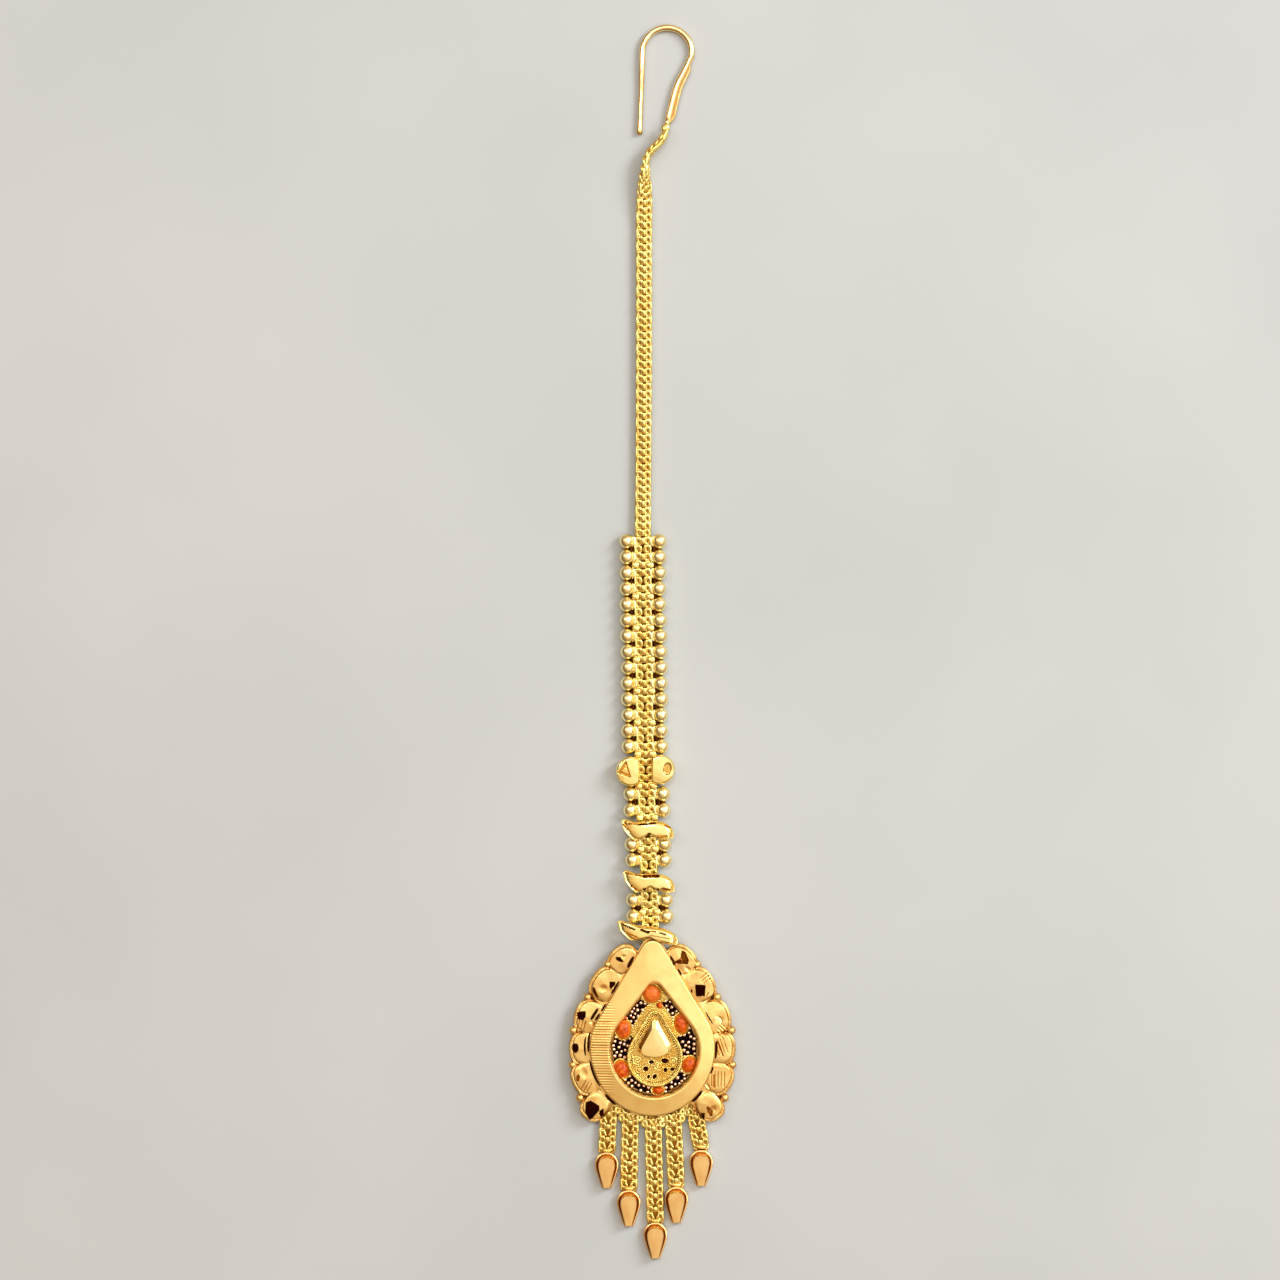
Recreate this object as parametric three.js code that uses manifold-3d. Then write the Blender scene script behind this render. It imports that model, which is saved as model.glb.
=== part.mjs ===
// A gold hair chain (maang tikka) lying flat, face up.
// A wire hook holds it in the hair. A flat double chain runs from the hook to a pear-shaped
// pendant. Small round beads flank the lower half of the chain, with a pair of faceted beads
// and three leaf-shaped cross bars among them. The pendant has a border of domed petals, a
// broad frame, a sunk well with enamel dots, and a raised centre. Five short chains hang from
// it as a fringe, each with a spear-shaped drop.
//
// Units are millimetres. +Y runs along the chain to the hook, and +Z points up from the
// surface that it lies on. Places below are measured from the middle of the pendant. The whole
// is then moved so that the origin is at the bottom centre of its bounding box.
import * as THREE from "three";
import { mergeVertices } from "three/addons/utils/BufferGeometryUtils.js";
import Module from "manifold-3d";

const wasm = await Module();
wasm.setup();

// ---------------------------------------------------------------- hook and chain
const gap = 0.2; // clearance between neighbouring pieces

// How many straight steps a round stretch gets.
const smooth = { pearBelow: 22, pearAbove: 5, pearTip: 6, hookBend: 10, barEdge: 14, post: 16 };

// The hook's wire starts at its free end, goes round an arc and comes down a bent leg. The
// lower half of that leg is doubled, where the wire turns back through the chain's last link.
const hookWire = { radius: 0.35, steps: 44 };
const hookDoubled = { radius: 0.5, steps: 6, fromPoint: 1 }; // from this point of the bent leg
const hookFreeLeg = [
  [-1.65, 118.2],
  [-1.45, 123.4],
];
const hookArc = { x: 1.92, y: 128.6, radius: 3.22, from: 180, to: -8 };
const hookBentLeg = [
  [4.2, 126.2],
  [3.3, 124.4],
  [2.7, 122.3],
  [2.2, 120.2],
  [1.85, 118.9],
];

// The chain's route, from the hook to the pendant, with the height of its underside. It stands
// on its edge at the hook and twists to lie flat. The beads hold it up at their middle height.
const chain = { wide: 2.1, thick: 1.1, steps: 56, edgeAbove: 115.6, flatBelow: 106.4 };
const chainRoute = [
  { x: 1.75, y: 118.6, under: 0.1 },
  { x: 1.38, y: 117.4, under: 0.1 },
  { x: 0.72, y: 116.5, under: 0.1 },
  { x: -0.1, y: 115.7, under: 0.1 },
  { x: -0.72, y: 114.7, under: 0.1 },
  { x: -0.95, y: 113.3, under: 0.1 },
  { x: -1.05, y: 110.4, under: 0.1 },
  { x: -1.08, y: 106, under: 0.1 },
  { x: -1.1, y: 87, under: 0.05 },
  { x: -1.2, y: 70, under: 0.1 },
  { x: -1.24, y: 64, under: 0.35 },
  { x: -1.2, y: 56, under: 0.35 },
  { x: -1.05, y: 46.8, under: 0.35 },
  { x: -0.98, y: 40, under: 0.35 },
  { x: -0.77, y: 32, under: 0.35 },
  { x: -0.56, y: 25.4, under: 0.35 },
  { x: -0.38, y: 18.2, under: 0.35 },
  { x: -0.2, y: 12.9, under: 0.35 },
];

// ---------------------------------------------------------------- beads and bars
const bead = { radius: 0.9, fromChain: 2.15, thread: 0.25, threadSides: 4 };
const beadGroups = [
  { name: "upper", firstY: 64.87, rows: 14, pitch: 2.054 },
  { name: "second", firstY: 32.02, rows: 2, pitch: 2.15 },
  { name: "third", firstY: 25.44, rows: 2, pitch: 2.05 },
  { name: "lower", firstY: 18.2, rows: 2, pitch: 2.15 },
];

const facetedBead = { radius: 1.88, height: 2.4 };
const facetedBeads = [
  { name: "faceted_bead_left", side: -1, fromChain: 2.13, y: 34.9 },
  { name: "faceted_bead_right", side: 1, fromChain: 1.9, y: 35.2 },
];

// A cross bar is a leaf with a swept tip at its left and a square end at its right.
const bar = { bottom: 1.65, top: 2.75, bevel: 0.2 };
const barUpperEdge = [
  [-3.4, 1.1],
  [-3.05, 1.42],
  [-1.2, 0.98],
  [1.1, 1.02],
  [2.2, 0.8],
  [3.1, 0.15],
  [3.45, -0.6],
];
const barLowerEdge = [
  [3.4, -1.3],
  [2.4, -1.4],
  [1.45, -1.25],
  [0.3, -0.78],
  [-1.0, -1.33],
  [-1.7, -1.42],
  [-2.45, -0.82],
  [-3.1, -0.05],
];
const crossBars = [
  { name: "cross_bar_upper", x: -0.65, y: 27.5, long: 1, deep: 1, turn: 2 },
  { name: "cross_bar_middle", x: -0.48, y: 20.7, long: 1, deep: 1, turn: -1 },
  { name: "cross_bar_lower", x: -0.65, y: 14.05, long: 1.2, deep: 0.85, turn: -7 },
];

// ---------------------------------------------------------------- pendant
// A pear is half an ellipse below its widest line, a shallower one above it, and straight
// flanks that leave that one at a tangent and would meet at the peak but for a rounded tip.
const framePear = { x: 0, y: -0.6, half: 8.13, below: 9.1, above: 6.9, peak: 15, tip: 2 };
const wellPear = { x: 0.3, y: -1, half: 5.72, below: 6.1, above: 5.3, peak: 9.5, tip: 1.1 };
const centrePear = { x: 0.35, y: -2.1, half: 3.56, below: 3.75, above: 3.8, peak: 7.1, tip: 1.1 };
const platePear = { x: 0.33, y: -0.95, half: 2.3, below: 1.2, above: 1.8, peak: 4.3, tip: 0.45 };

const backTop = 1.1; // the soldered back plate
const backInset = 0.8; // how far it stays inside the frame's outline
const frameHeight = { bottom: 1.3, top: 3.0, bevel: 0.3 };
const wellHeight = { bottom: 1.3, top: 1.6 };
const colletHeight = { top: 2.1, wall: 0.25 };
const centreHeight = { bottom: 1.8, floor: 2.1, top: 2.7, wall: 0.75 };
const plateHeight = { bottom: 2.3, top: 3.1, bevel: 0.35 };
const enamelTop = 2.5;

// Petals of the border on the right side, from the top: centre, size outwards and along the
// edge, and the direction that they point in, in degrees from +X. The left side mirrors them.
const petalTop = 2.1;
const petals = [
  { x: 3.75, y: 10.6, out: 3.4, along: 4.2, towards: 50 },
  { x: 6.15, y: 7.2, out: 3.8, along: 4.6, towards: 33 },
  { x: 8.4, y: 3.0, out: 3.6, along: 4.5, towards: 20 },
  { x: 9.1, y: -1.06, out: 3.5, along: 4.3, towards: -2 },
  { x: 8.8, y: -4.9, out: 3.5, along: 4.3, towards: -25 },
  { x: 7.45, y: -8.6, out: 4.2, along: 3.3, towards: -52 },
];

// The balls stand between the petals, on the corners of the border's back.
const ball = { radius: 0.5, top: 1.5 };
const balls = [
  [5.8, 9.83],
  [8.42, 5.57],
  [10.28, 1.27],
  [10.37, -3.22],
  [9.41, -7.5],
];
const borderTopCorner = [0.5, 11.5];
const borderFoot = [
  [8.2, -9.5],
  [7.1, -9.3],
  [5.4, -6.2],
];

// Enamel dots: centre, size across and along, and the turn of the long way from +Y.
const enamelDots = [
  { name: "enamel_dot_top", x: -0.05, y: 6.1, wide: 1.5, long: 1.5, turn: 0 },
  { name: "enamel_dot_upper_left", x: -3.72, y: 1.35, wide: 1.4, long: 2.1, turn: -8 },
  { name: "enamel_dot_upper_right", x: 3.75, y: 2.05, wide: 1.4, long: 2.1, turn: 10 },
  { name: "enamel_dot_lower_left", x: -3.95, y: -3.75, wide: 1.4, long: 2.0, turn: 25 },
  { name: "enamel_dot_lower_right", x: 4.75, y: -3.2, wide: 1.4, long: 2.0, turn: -25 },
  { name: "enamel_dot_bottom", x: 0.72, y: -6.4, wide: 0.8, long: 1.4, turn: 90 },
];

// ---------------------------------------------------------------- fringe
const fringeChain = { wide: 2.2, thick: 1.1, step: 2.2, underFrame: 0.5 };
const fringe = [
  { top: [-5.6, -8.0], bottom: [-5.94, -14.5] },
  { top: [-2.82, -9.0], bottom: [-3.07, -19.45] },
  { top: [0.08, -9.75], bottom: [0.4, -23.65] },
  { top: [2.65, -9.1], bottom: [3.12, -19.0] },
  { top: [5.3, -8.3], bottom: [6.35, -14.05] },
];
// The drop's half outline: half width at a distance below its top.
const drop = { thick: 1.7, bevel: 0.5 };
const dropOutline = [
  [0.95, 0],
  [1.35, 0.35],
  [1.53, 0.95],
  [1.55, 1.5],
  [1.22, 2.8],
  [0.75, 4.3],
  [0.6, 4.65],
];

// ---------------------------------------------------------------- materials
const polishedGold = { color: 0xe9b74f, roughness: 0.2, metalness: 1 };
const satinGold = { color: 0xf0c878, roughness: 0.45, metalness: 1 };
const darkenedGold = { color: 0x2a1a20, roughness: 0.4, metalness: 0.8 };
const orangeEnamel = { color: 0xe4511c, roughness: 0.15, metalness: 0 };

// ---------------------------------------------------------------- solids
const radians = THREE.MathUtils.degToRad;

// A closed geometry as a manifold-3d solid, with its shared vertices merged.
function toSolid(geometry) {
  const bare = geometry.clone();
  bare.deleteAttribute("normal");
  bare.deleteAttribute("uv");
  const merged = mergeVertices(bare, 1e-4);
  return new wasm.Manifold(
    new wasm.Mesh({
      numProp: 3,
      vertProperties: merged.attributes.position.array,
      triVerts: new Uint32Array(merged.index.array),
    }),
  );
}

function toGeometry(solid) {
  const mesh = solid.getMesh();
  const geometry = new THREE.BufferGeometry();
  geometry.setAttribute("position", new THREE.BufferAttribute(mesh.vertProperties, 3));
  geometry.setIndex(new THREE.BufferAttribute(mesh.triVerts, 1));
  return geometry;
}

const joined = (geometries) => geometries.map(toSolid).reduce((all, next) => all.add(next));

function named(name, geometry, finish) {
  geometry.computeVertexNormals();
  const mesh = new THREE.Mesh(geometry, new THREE.MeshStandardMaterial(finish));
  mesh.name = name;
  return mesh;
}

// ---------------------------------------------------------------- outlines
const shortestEdge = 0.02;

// A shape through points, without those that fall on the one before.
function shapeOf(points, Kind = THREE.Shape) {
  const kept = points.filter(
    (point, i) => point.distanceTo(points[(i + 1) % points.length]) > shortestEdge,
  );
  return new Kind(kept);
}

function arc(x, y, across, along, from, to, steps) {
  const backwards = to < from;
  const curve = new THREE.EllipseCurve(
    x,
    y,
    across,
    along,
    radians(from),
    radians(to),
    backwards,
  );
  return curve.getPoints(steps);
}

// The outline of a pear, moved outwards by grow.
function pearShape(pear, grow = 0, Kind = THREE.Shape) {
  const half = pear.half + grow;
  const above = pear.above + grow;
  const touch = Math.asin(pear.above / pear.peak);
  const rise = pear.peak - pear.above * Math.sin(touch);
  const flank = Math.atan2(pear.half * Math.cos(touch), rise);
  const peak = pear.peak + grow / Math.sin(flank);
  const tip = pear.tip + grow;
  const tipY = pear.y + peak - tip / Math.sin(flank);
  const touchAt = THREE.MathUtils.radToDeg(touch);
  const flankAt = THREE.MathUtils.radToDeg(flank);
  return shapeOf(
    [
      ...arc(pear.x, pear.y, half, pear.below + grow, 180, 360, smooth.pearBelow),
      ...arc(pear.x, pear.y, half, above, 0, touchAt, smooth.pearAbove),
      ...arc(pear.x, tipY, tip, tip, flankAt, 180 - flankAt, smooth.pearTip),
      ...arc(pear.x, pear.y, half, above, 180 - touchAt, 180, smooth.pearAbove),
    ],
    Kind,
  );
}

function slab(shape, bottom, top) {
  const geometry = new THREE.ExtrudeGeometry(shape, {
    depth: top - bottom,
    bevelEnabled: false,
  });
  return geometry.translate(0, 0, bottom);
}

// A slab whose top and bottom edges are bevelled inwards.
function bevelledSlab(shape, { bottom, top, bevel }) {
  const geometry = new THREE.ExtrudeGeometry(shape, {
    depth: top - bottom - 2 * bevel,
    bevelThickness: bevel,
    bevelSize: bevel,
    bevelOffset: -bevel,
    bevelSegments: 1,
  });
  return geometry.translate(0, 0, bottom + bevel);
}

// The upper half of a ball, stretched to a size and turned about +Z.
function dome({ x, y, wide, long, turn }, bottom, top) {
  const around = 12;
  const rings = 3;
  const profile = [new THREE.Vector2(0, 0)];
  for (let i = 0; i < rings; i++) {
    const angle = (i / rings) * (Math.PI / 2);
    profile.push(new THREE.Vector2(Math.cos(angle), Math.sin(angle)));
  }
  profile.push(new THREE.Vector2(0, 1));
  return new THREE.LatheGeometry(profile, around)
    .rotateX(Math.PI / 2)
    .scale(wide / 2, long / 2, top - bottom)
    .rotateZ(radians(turn))
    .translate(x, y, bottom);
}

// An upright oval post.
function post({ x, y, wide, long, turn }, grow, bottom, top) {
  return new THREE.CylinderGeometry(1, 1, top - bottom, smooth.post)
    .rotateX(Math.PI / 2)
    .scale(wide / 2 + grow, long / 2 + grow, 1)
    .rotateZ(radians(turn))
    .translate(x, y, (bottom + top) / 2);
}

// ---------------------------------------------------------------- tubes and bands
// A wire along a run of points, from the first to the last.
function wire(points, radius, steps, sides = 8) {
  const curve = new THREE.CatmullRomCurve3(points, false, "centripetal");
  const section = shapeOf(arc(0, 0, radius, radius, 0, 360, sides));
  return new THREE.ExtrudeGeometry(section, { extrudePath: curve, steps });
}

// The corners of a flat band's section, as shares of half its width and half its thickness.
const chamfer = 0.55;
const bandCorners = [
  [1, chamfer],
  [chamfer, 1],
  [-chamfer, 1],
  [-1, chamfer],
  [-1, -chamfer],
  [-chamfer, -1],
  [chamfer, -1],
  [1, -chamfer],
];

// Half the height of a level band that is turned about its length by an angle in degrees.
function halfHeight({ wide, thick }, turn) {
  const rise = Math.sin(radians(turn));
  const rest = Math.cos(radians(turn));
  const heights = bandCorners.map(([across, up]) => across * wide * rise + up * thick * rest);
  return Math.max(...heights) / 2;
}

// A flat band along a curve. turnAt gives its turn about the curve in degrees, 0 lying flat.
function band(curve, steps, { wide, thick }, turnAt = () => 0) {
  const sides = bandCorners.length;
  const positions = [];
  for (let i = 0; i <= steps; i++) {
    const centre = curve.getPointAt(i / steps);
    const ahead = curve.getTangentAt(i / steps);
    const side = new THREE.Vector3().crossVectors(ahead, new THREE.Vector3(0, 0, 1));
    side.normalize().applyAxisAngle(ahead, radians(turnAt(centre.y)));
    const lift = new THREE.Vector3().crossVectors(side, ahead);
    for (const [across, up] of bandCorners) {
      const corner = centre.clone();
      corner.addScaledVector(side, (across * wide) / 2);
      corner.addScaledVector(lift, (up * thick) / 2);
      positions.push(...corner.toArray());
    }
  }
  const faces = [];
  for (let i = 0; i < steps; i++) {
    for (let k = 0; k < sides; k++) {
      const here = i * sides + k;
      const beside = i * sides + ((k + 1) % sides);
      faces.push(here, here + sides, beside + sides, here, beside + sides, beside);
    }
  }
  const last = steps * sides;
  for (let k = 1; k < sides - 1; k++) {
    faces.push(0, k, k + 1, last, last + k + 1, last + k);
  }
  const geometry = new THREE.BufferGeometry();
  geometry.setAttribute("position", new THREE.Float32BufferAttribute(positions, 3));
  geometry.setIndex(faces);
  return geometry;
}

// ---------------------------------------------------------------- hook and chain pieces
function makeHook() {
  const level = (points, z) => points.map(([x, y]) => new THREE.Vector3(x, y, z));
  const { x, y, radius, from, to } = hookArc;
  const bend = arc(x, y, radius, radius, from, to, smooth.hookBend).map((p) => [p.x, p.y]);
  const route = level([...hookFreeLeg, ...bend, ...hookBentLeg], hookDoubled.radius);
  const foot = level(hookBentLeg.slice(hookDoubled.fromPoint), hookDoubled.radius);
  const single = wire(route, hookWire.radius, hookWire.steps);
  return toGeometry(joined([single, wire(foot, hookDoubled.radius, hookDoubled.steps)]));
}

const chainTurn = (y) => 90 * THREE.MathUtils.smoothstep(y, chain.flatBelow, chain.edgeAbove);

function makeChain() {
  const centres = chainRoute.map(
    ({ x, y, under }) => new THREE.Vector3(x, y, under + halfHeight(chain, chainTurn(y))),
  );
  const curve = new THREE.CatmullRomCurve3(centres, false, "centripetal");
  return band(curve, chain.steps, chain, chainTurn);
}

// The x of the chain's centre line at a given y.
function chainX(y) {
  const below = chainRoute.findIndex((point) => point.y <= y);
  const a = chainRoute[below - 1];
  const b = chainRoute[below];
  return THREE.MathUtils.mapLinear(y, a.y, b.y, a.x, b.x);
}

function makeBeadColumn({ firstY, rows, pitch }, side) {
  const centres = [];
  for (let row = 0; row < rows; row++) {
    const y = firstY - row * pitch;
    centres.push(new THREE.Vector3(chainX(y) + side * bead.fromChain, y, bead.radius));
  }
  const beads = centres.map((centre) =>
    new THREE.IcosahedronGeometry(bead.radius, 1).translate(...centre.toArray()),
  );
  return toGeometry(joined([wire(centres, bead.thread, rows - 1, bead.threadSides), ...beads]));
}

// The faceted beads are cut straight where the chain lies against them.
function makeFacetedBead({ side, fromChain, y }) {
  const middle = chainX(y);
  const stone = new THREE.IcosahedronGeometry(1, 1)
    .scale(facetedBead.radius, facetedBead.radius, facetedBead.height / 2)
    .translate(middle + side * fromChain, y, facetedBead.height / 2);
  const reach = 2 * facetedBead.radius;
  const cut = new THREE.BoxGeometry(chain.wide + 2 * gap, 2 * reach, 2 * reach);
  return toGeometry(toSolid(stone).subtract(toSolid(cut.translate(middle, y, 0))));
}

function makeCrossBar({ x, y, long, deep, turn }) {
  const edge = (points) => new THREE.SplineCurve(points.map(([a, b]) => new THREE.Vector2(a, b)));
  const outline = [barLowerEdge, barUpperEdge].flatMap((points) =>
    edge(points).getPoints(smooth.barEdge),
  );
  return bevelledSlab(shapeOf(outline), bar)
    .scale(long, deep, 1)
    .rotateZ(radians(turn))
    .translate(x, y, 0);
}

// ---------------------------------------------------------------- pendant pieces
// The line of a fringe chain, which starts a little way under the frame.
function fringeCurve({ top, bottom }, start = fringeChain.underFrame) {
  const z = fringeChain.thick / 2;
  return new THREE.LineCurve3(
    new THREE.Vector3(top[0], top[1] + start, z),
    new THREE.Vector3(bottom[0], bottom[1], z),
  );
}

function makeFringeChain(row) {
  const curve = fringeCurve(row);
  return band(curve, Math.round(curve.getLength() / fringeChain.step), fringeChain);
}

// Back plate, petals and balls. The frame sits on the plate, so the petals stop short of it,
// and the fringe's chains are let into the plate's edge.
function makeBorder() {
  const pieces = [slab(pearShape(framePear, -backInset), 0, backTop)];
  for (const side of [1, -1]) {
    const wing = [[0, 0], borderTopCorner, ...balls, ...borderFoot];
    const corners = wing.map(([x, y]) => new THREE.Vector2(side * x, y));
    pieces.push(slab(shapeOf(side > 0 ? corners.reverse() : corners), 0, backTop));
    for (const { x, y, out, along, towards } of petals) {
      const turn = side > 0 ? towards : 180 - towards;
      pieces.push(dome({ x: side * x, y, wide: out, long: along, turn }, 0, petalTop));
    }
    for (const [x, y] of balls) {
      const size = 2 * ball.radius;
      pieces.push(dome({ x: side * x, y, wide: size, long: size, turn: 0 }, 0, ball.top));
    }
  }
  const frameRoom = slab(pearShape(framePear, gap), backTop, frameHeight.top);
  const wide = fringeChain.wide + 2 * gap;
  const thick = fringeChain.thick + 2 * gap;
  const start = fringeChain.underFrame + gap;
  const chainRoom = fringe.map((row) => toSolid(band(fringeCurve(row, start), 1, { wide, thick })));
  return toGeometry(
    chainRoom.reduce((all, room) => all.subtract(room), joined(pieces).subtract(toSolid(frameRoom))),
  );
}

function makeFrame() {
  const shape = pearShape(framePear);
  shape.holes.push(pearShape(wellPear, 0, THREE.Path));
  return bevelledSlab(shape, frameHeight);
}

// The well's floor with its collets, kept clear of the frame around it and of the raised centre.
function makeWell() {
  const floor = slab(pearShape(wellPear, -gap), wellHeight.bottom, wellHeight.top);
  const collets = enamelDots.map((dot) =>
    toSolid(post(dot, gap / 2 + colletHeight.wall, wellHeight.bottom, colletHeight.top)).subtract(
      toSolid(post(dot, gap / 2, wellHeight.top, enamelTop)),
    ),
  );
  const insideFrame = toSolid(slab(pearShape(wellPear, -gap), 0, frameHeight.top));
  const centreRoom = toSolid(slab(pearShape(centrePear, gap), wellHeight.top, frameHeight.top));
  const whole = collets.reduce((all, next) => all.add(next), toSolid(floor));
  return toGeometry(whole.intersect(insideFrame).subtract(centreRoom));
}

function makeCentreRim() {
  const { bottom, floor, top, wall } = centreHeight;
  const whole = toSolid(slab(pearShape(centrePear), bottom, top));
  const hollow = toSolid(slab(pearShape(centrePear, -wall), floor, top + gap));
  return toGeometry(whole.subtract(hollow));
}

// A drop hangs upright below the end of its chain, whose lower corner dips where it slants.
function makeDrop({ top, bottom }) {
  const [x, y] = bottom;
  const slant = Math.abs((x - top[0]) / (y - top[1]));
  const below = gap + (slant * fringeChain.wide) / 2;
  const right = dropOutline.map(([half, down]) => new THREE.Vector2(half, -down));
  const left = dropOutline.map(([half, down]) => new THREE.Vector2(-half, -down));
  return bevelledSlab(shapeOf([...left, ...right.reverse()]), {
    bottom: 0,
    top: drop.thick,
    bevel: drop.bevel,
  }).translate(x, y - below, 0);
}

// ---------------------------------------------------------------- assembly
const layout = new THREE.Group();
const add = (name, geometry, finish) => layout.add(named(name, geometry, finish));

add("hook", makeHook(), polishedGold);
add("chain", makeChain(), polishedGold);
for (const group of beadGroups) {
  add(`beads_${group.name}_left`, makeBeadColumn(group, -1), polishedGold);
  add(`beads_${group.name}_right`, makeBeadColumn(group, 1), polishedGold);
}
for (const row of facetedBeads) add(row.name, makeFacetedBead(row), polishedGold);
for (const row of crossBars) add(row.name, makeCrossBar(row), polishedGold);

add("pendant_border", makeBorder(), polishedGold);
add("pendant_frame", makeFrame(), satinGold);
add("pendant_well", makeWell(), darkenedGold);
add("centre_rim", makeCentreRim(), polishedGold);
add("centre_plate", bevelledSlab(pearShape(platePear), plateHeight), polishedGold);
for (const dot of enamelDots) {
  add(dot.name, dome(dot, wellHeight.top + gap / 2, enamelTop), orangeEnamel);
}
fringe.forEach((row, i) => {
  add(`fringe_chain_${i + 1}`, makeFringeChain(row), polishedGold);
  add(`drop_${i + 1}`, makeDrop(row), polishedGold);
});

const box = new THREE.Box3().setFromObject(layout);
const middle = box.getCenter(new THREE.Vector3());
layout.position.set(-middle.x, -middle.y, -box.min.z);

const hairChain = new THREE.Group();
hairChain.add(layout);

export default hairChain;
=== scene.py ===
# %% [markdown]
# # A gold hair chain, piece by piece
#
# This is a maang tikka: a hook for the hair, a flat double chain with small beads along its lower
# half, three cross bars, and a pear-shaped pendant with a fringe of five short chains. It lies
# face up on a pale table. The real one is 22-carat gold, built up from drawn wire, rolled sheet
# and small cast parts that are soldered together, with orange enamel in six collets.
#
# The construction model already holds every piece at its true size. This lesson gives each of
# them its visible surface, one cell after another: links instead of a plain band, rope wire,
# granules, bright cuts and polish.

# %% The fixed frame
import math
import random
import bmesh
import bpy
import numpy as np
from mathutils import Matrix, Vector


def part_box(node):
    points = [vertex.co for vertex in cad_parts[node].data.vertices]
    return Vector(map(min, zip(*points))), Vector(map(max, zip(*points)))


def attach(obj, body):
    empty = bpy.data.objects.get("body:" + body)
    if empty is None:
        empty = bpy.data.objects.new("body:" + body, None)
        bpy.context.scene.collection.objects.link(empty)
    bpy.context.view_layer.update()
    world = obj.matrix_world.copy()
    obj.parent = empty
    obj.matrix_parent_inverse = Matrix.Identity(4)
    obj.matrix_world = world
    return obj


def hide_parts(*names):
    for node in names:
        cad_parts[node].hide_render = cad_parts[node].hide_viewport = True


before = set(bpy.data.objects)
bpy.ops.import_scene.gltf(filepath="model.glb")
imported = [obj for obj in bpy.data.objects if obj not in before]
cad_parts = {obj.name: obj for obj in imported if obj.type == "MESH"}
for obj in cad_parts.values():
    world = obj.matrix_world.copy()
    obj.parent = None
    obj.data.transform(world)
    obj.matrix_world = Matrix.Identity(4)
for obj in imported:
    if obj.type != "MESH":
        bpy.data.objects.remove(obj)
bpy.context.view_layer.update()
MM = 0.001
TURN = 2 * math.pi

# %% [markdown]
# ## Where the numbers are measured from
#
# All places are in millimetres from the middle of the pendant, as a goldsmith would mark them on
# a drawing. The model's own origin is elsewhere, so one number is read from it: where the
# pendant's middle lies along Y. The pendant's satin frame ends 9.7 mm below its middle, so the
# lowest point of that node gives the rest.

# %% From the pendant's middle to the model's frame
FRAME_BELOW_MIDDLE = 9.7
middle_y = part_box("pendant_frame")[0].y / MM + FRAME_BELOW_MIDDLE


def to_metres(points):
    """Points in millimetres from the pendant's middle, as metres in the model's own frame."""
    return (np.asarray(points, float) + np.array([0, middle_y, 0])) * MM


print("pendant's middle is at y =", round(middle_y, 3), "mm")

# %% [markdown]
# ## Camera, table and light
#
# Jewellery is mostly reflection, so the light is built first. The camera looks straight down
# through a long lens, which keeps the proportions of flat work true. The view transform is the
# plain one, because a filmic curve would turn the yellow of gold towards grey.

# %% Camera
LENS_MM = 85
SENSOR_MM = 36
# The view takes in this much of the table, and looks at this place on it, in metres.
VIEW_ACROSS_MM = 167.0
VIEW_CENTRE = (-0.0016, 0.0002)
camera_height = VIEW_ACROSS_MM * MM * LENS_MM / SENSOR_MM

camera_data = bpy.data.cameras.new("camera")
camera_data.lens = LENS_MM
camera_data.sensor_width = SENSOR_MM
camera = bpy.data.objects.new("camera", camera_data)
camera.location = (*VIEW_CENTRE, camera_height)
bpy.context.scene.collection.objects.link(camera)
bpy.context.scene.camera = camera
bpy.context.scene.view_settings.view_transform = "Standard"
print("camera", round(camera_height, 3), "m above the table")

# %% [markdown]
# Colours are written as the hex values that a colour picker shows, and Blender mixes light in
# linear values, so one function turns the first into the second. Another adds any shader node: it
# sets the node's options, its inputs and a colour ramp's stops, and links other sockets into it.
# Patterns are given their real size in millimetres. A texture wants to know how many of them fit
# in a metre, so a third function turns one into the other.

# %% Helpers for every material


def linear(colour):
    """An sRGB hex colour as linear red, green, blue and alpha. A number is a linear grey."""
    if not isinstance(colour, str):
        return (colour, colour, colour, 1.0)
    shares = [int(colour[i : i + 2], 16) / 255 for i in (1, 3, 5)]
    curved = [s / 12.92 if s <= 0.04045 else ((s + 0.055) / 1.055) ** 2.4 for s in shares]
    return (*curved, 1.0)


def add_node(tree, kind, settings=None, links=None, stops=()):
    """A new shader node. A key of settings or links names an option or an input of the node.

    Options come first in settings, because they change which inputs there are. The stops of a
    colour ramp are rows of (place from 0 to 1, colour)."""
    node = tree.nodes.new(kind)

    def socket(key):
        return [s for s in node.inputs if key in (s.identifier, s.name)][0]

    for key, value in (settings or {}).items():
        if hasattr(node, key):
            setattr(node, key, value)
        else:
            socket(key).default_value = value
    for key, source in (links or {}).items():
        tree.links.new(source, socket(key))
    if stops:
        elements = node.color_ramp.elements
        elements.remove(elements[1])
        elements[0].position = stops[0][0]
        for place, _ in stops[1:]:
            elements.new(place)
        for element, (_, colour) in zip(elements, stops):
            element.color = linear(colour)
    return node


def outlet(node, identifier):
    """An output by its identifier, for a node whose outputs all have the same name."""
    return [s for s in node.outputs if s.identifier == identifier][0]


def per_metre(size_mm):
    """The scale of a texture whose pattern is about size_mm across."""
    return 1 / (size_mm * MM)


def new_material(name):
    """A material and its empty tree of nodes."""
    material = bpy.data.materials.new(name)
    material.use_nodes = True
    material.node_tree.nodes.clear()
    return material, material.node_tree


print("#F8E796 is", [round(value, 3) for value in linear("#F8E796")[:3]], "in linear values")

# %% [markdown]
# The table is a painted board: matt, pale and cool, with no grain and only the faint cloudiness
# that a large painted sheet has. One plane is enough for it, with a noise texture so wide that the
# clouds are larger than the pendant. It is marked as the stage, which keeps it out of the part.

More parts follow.
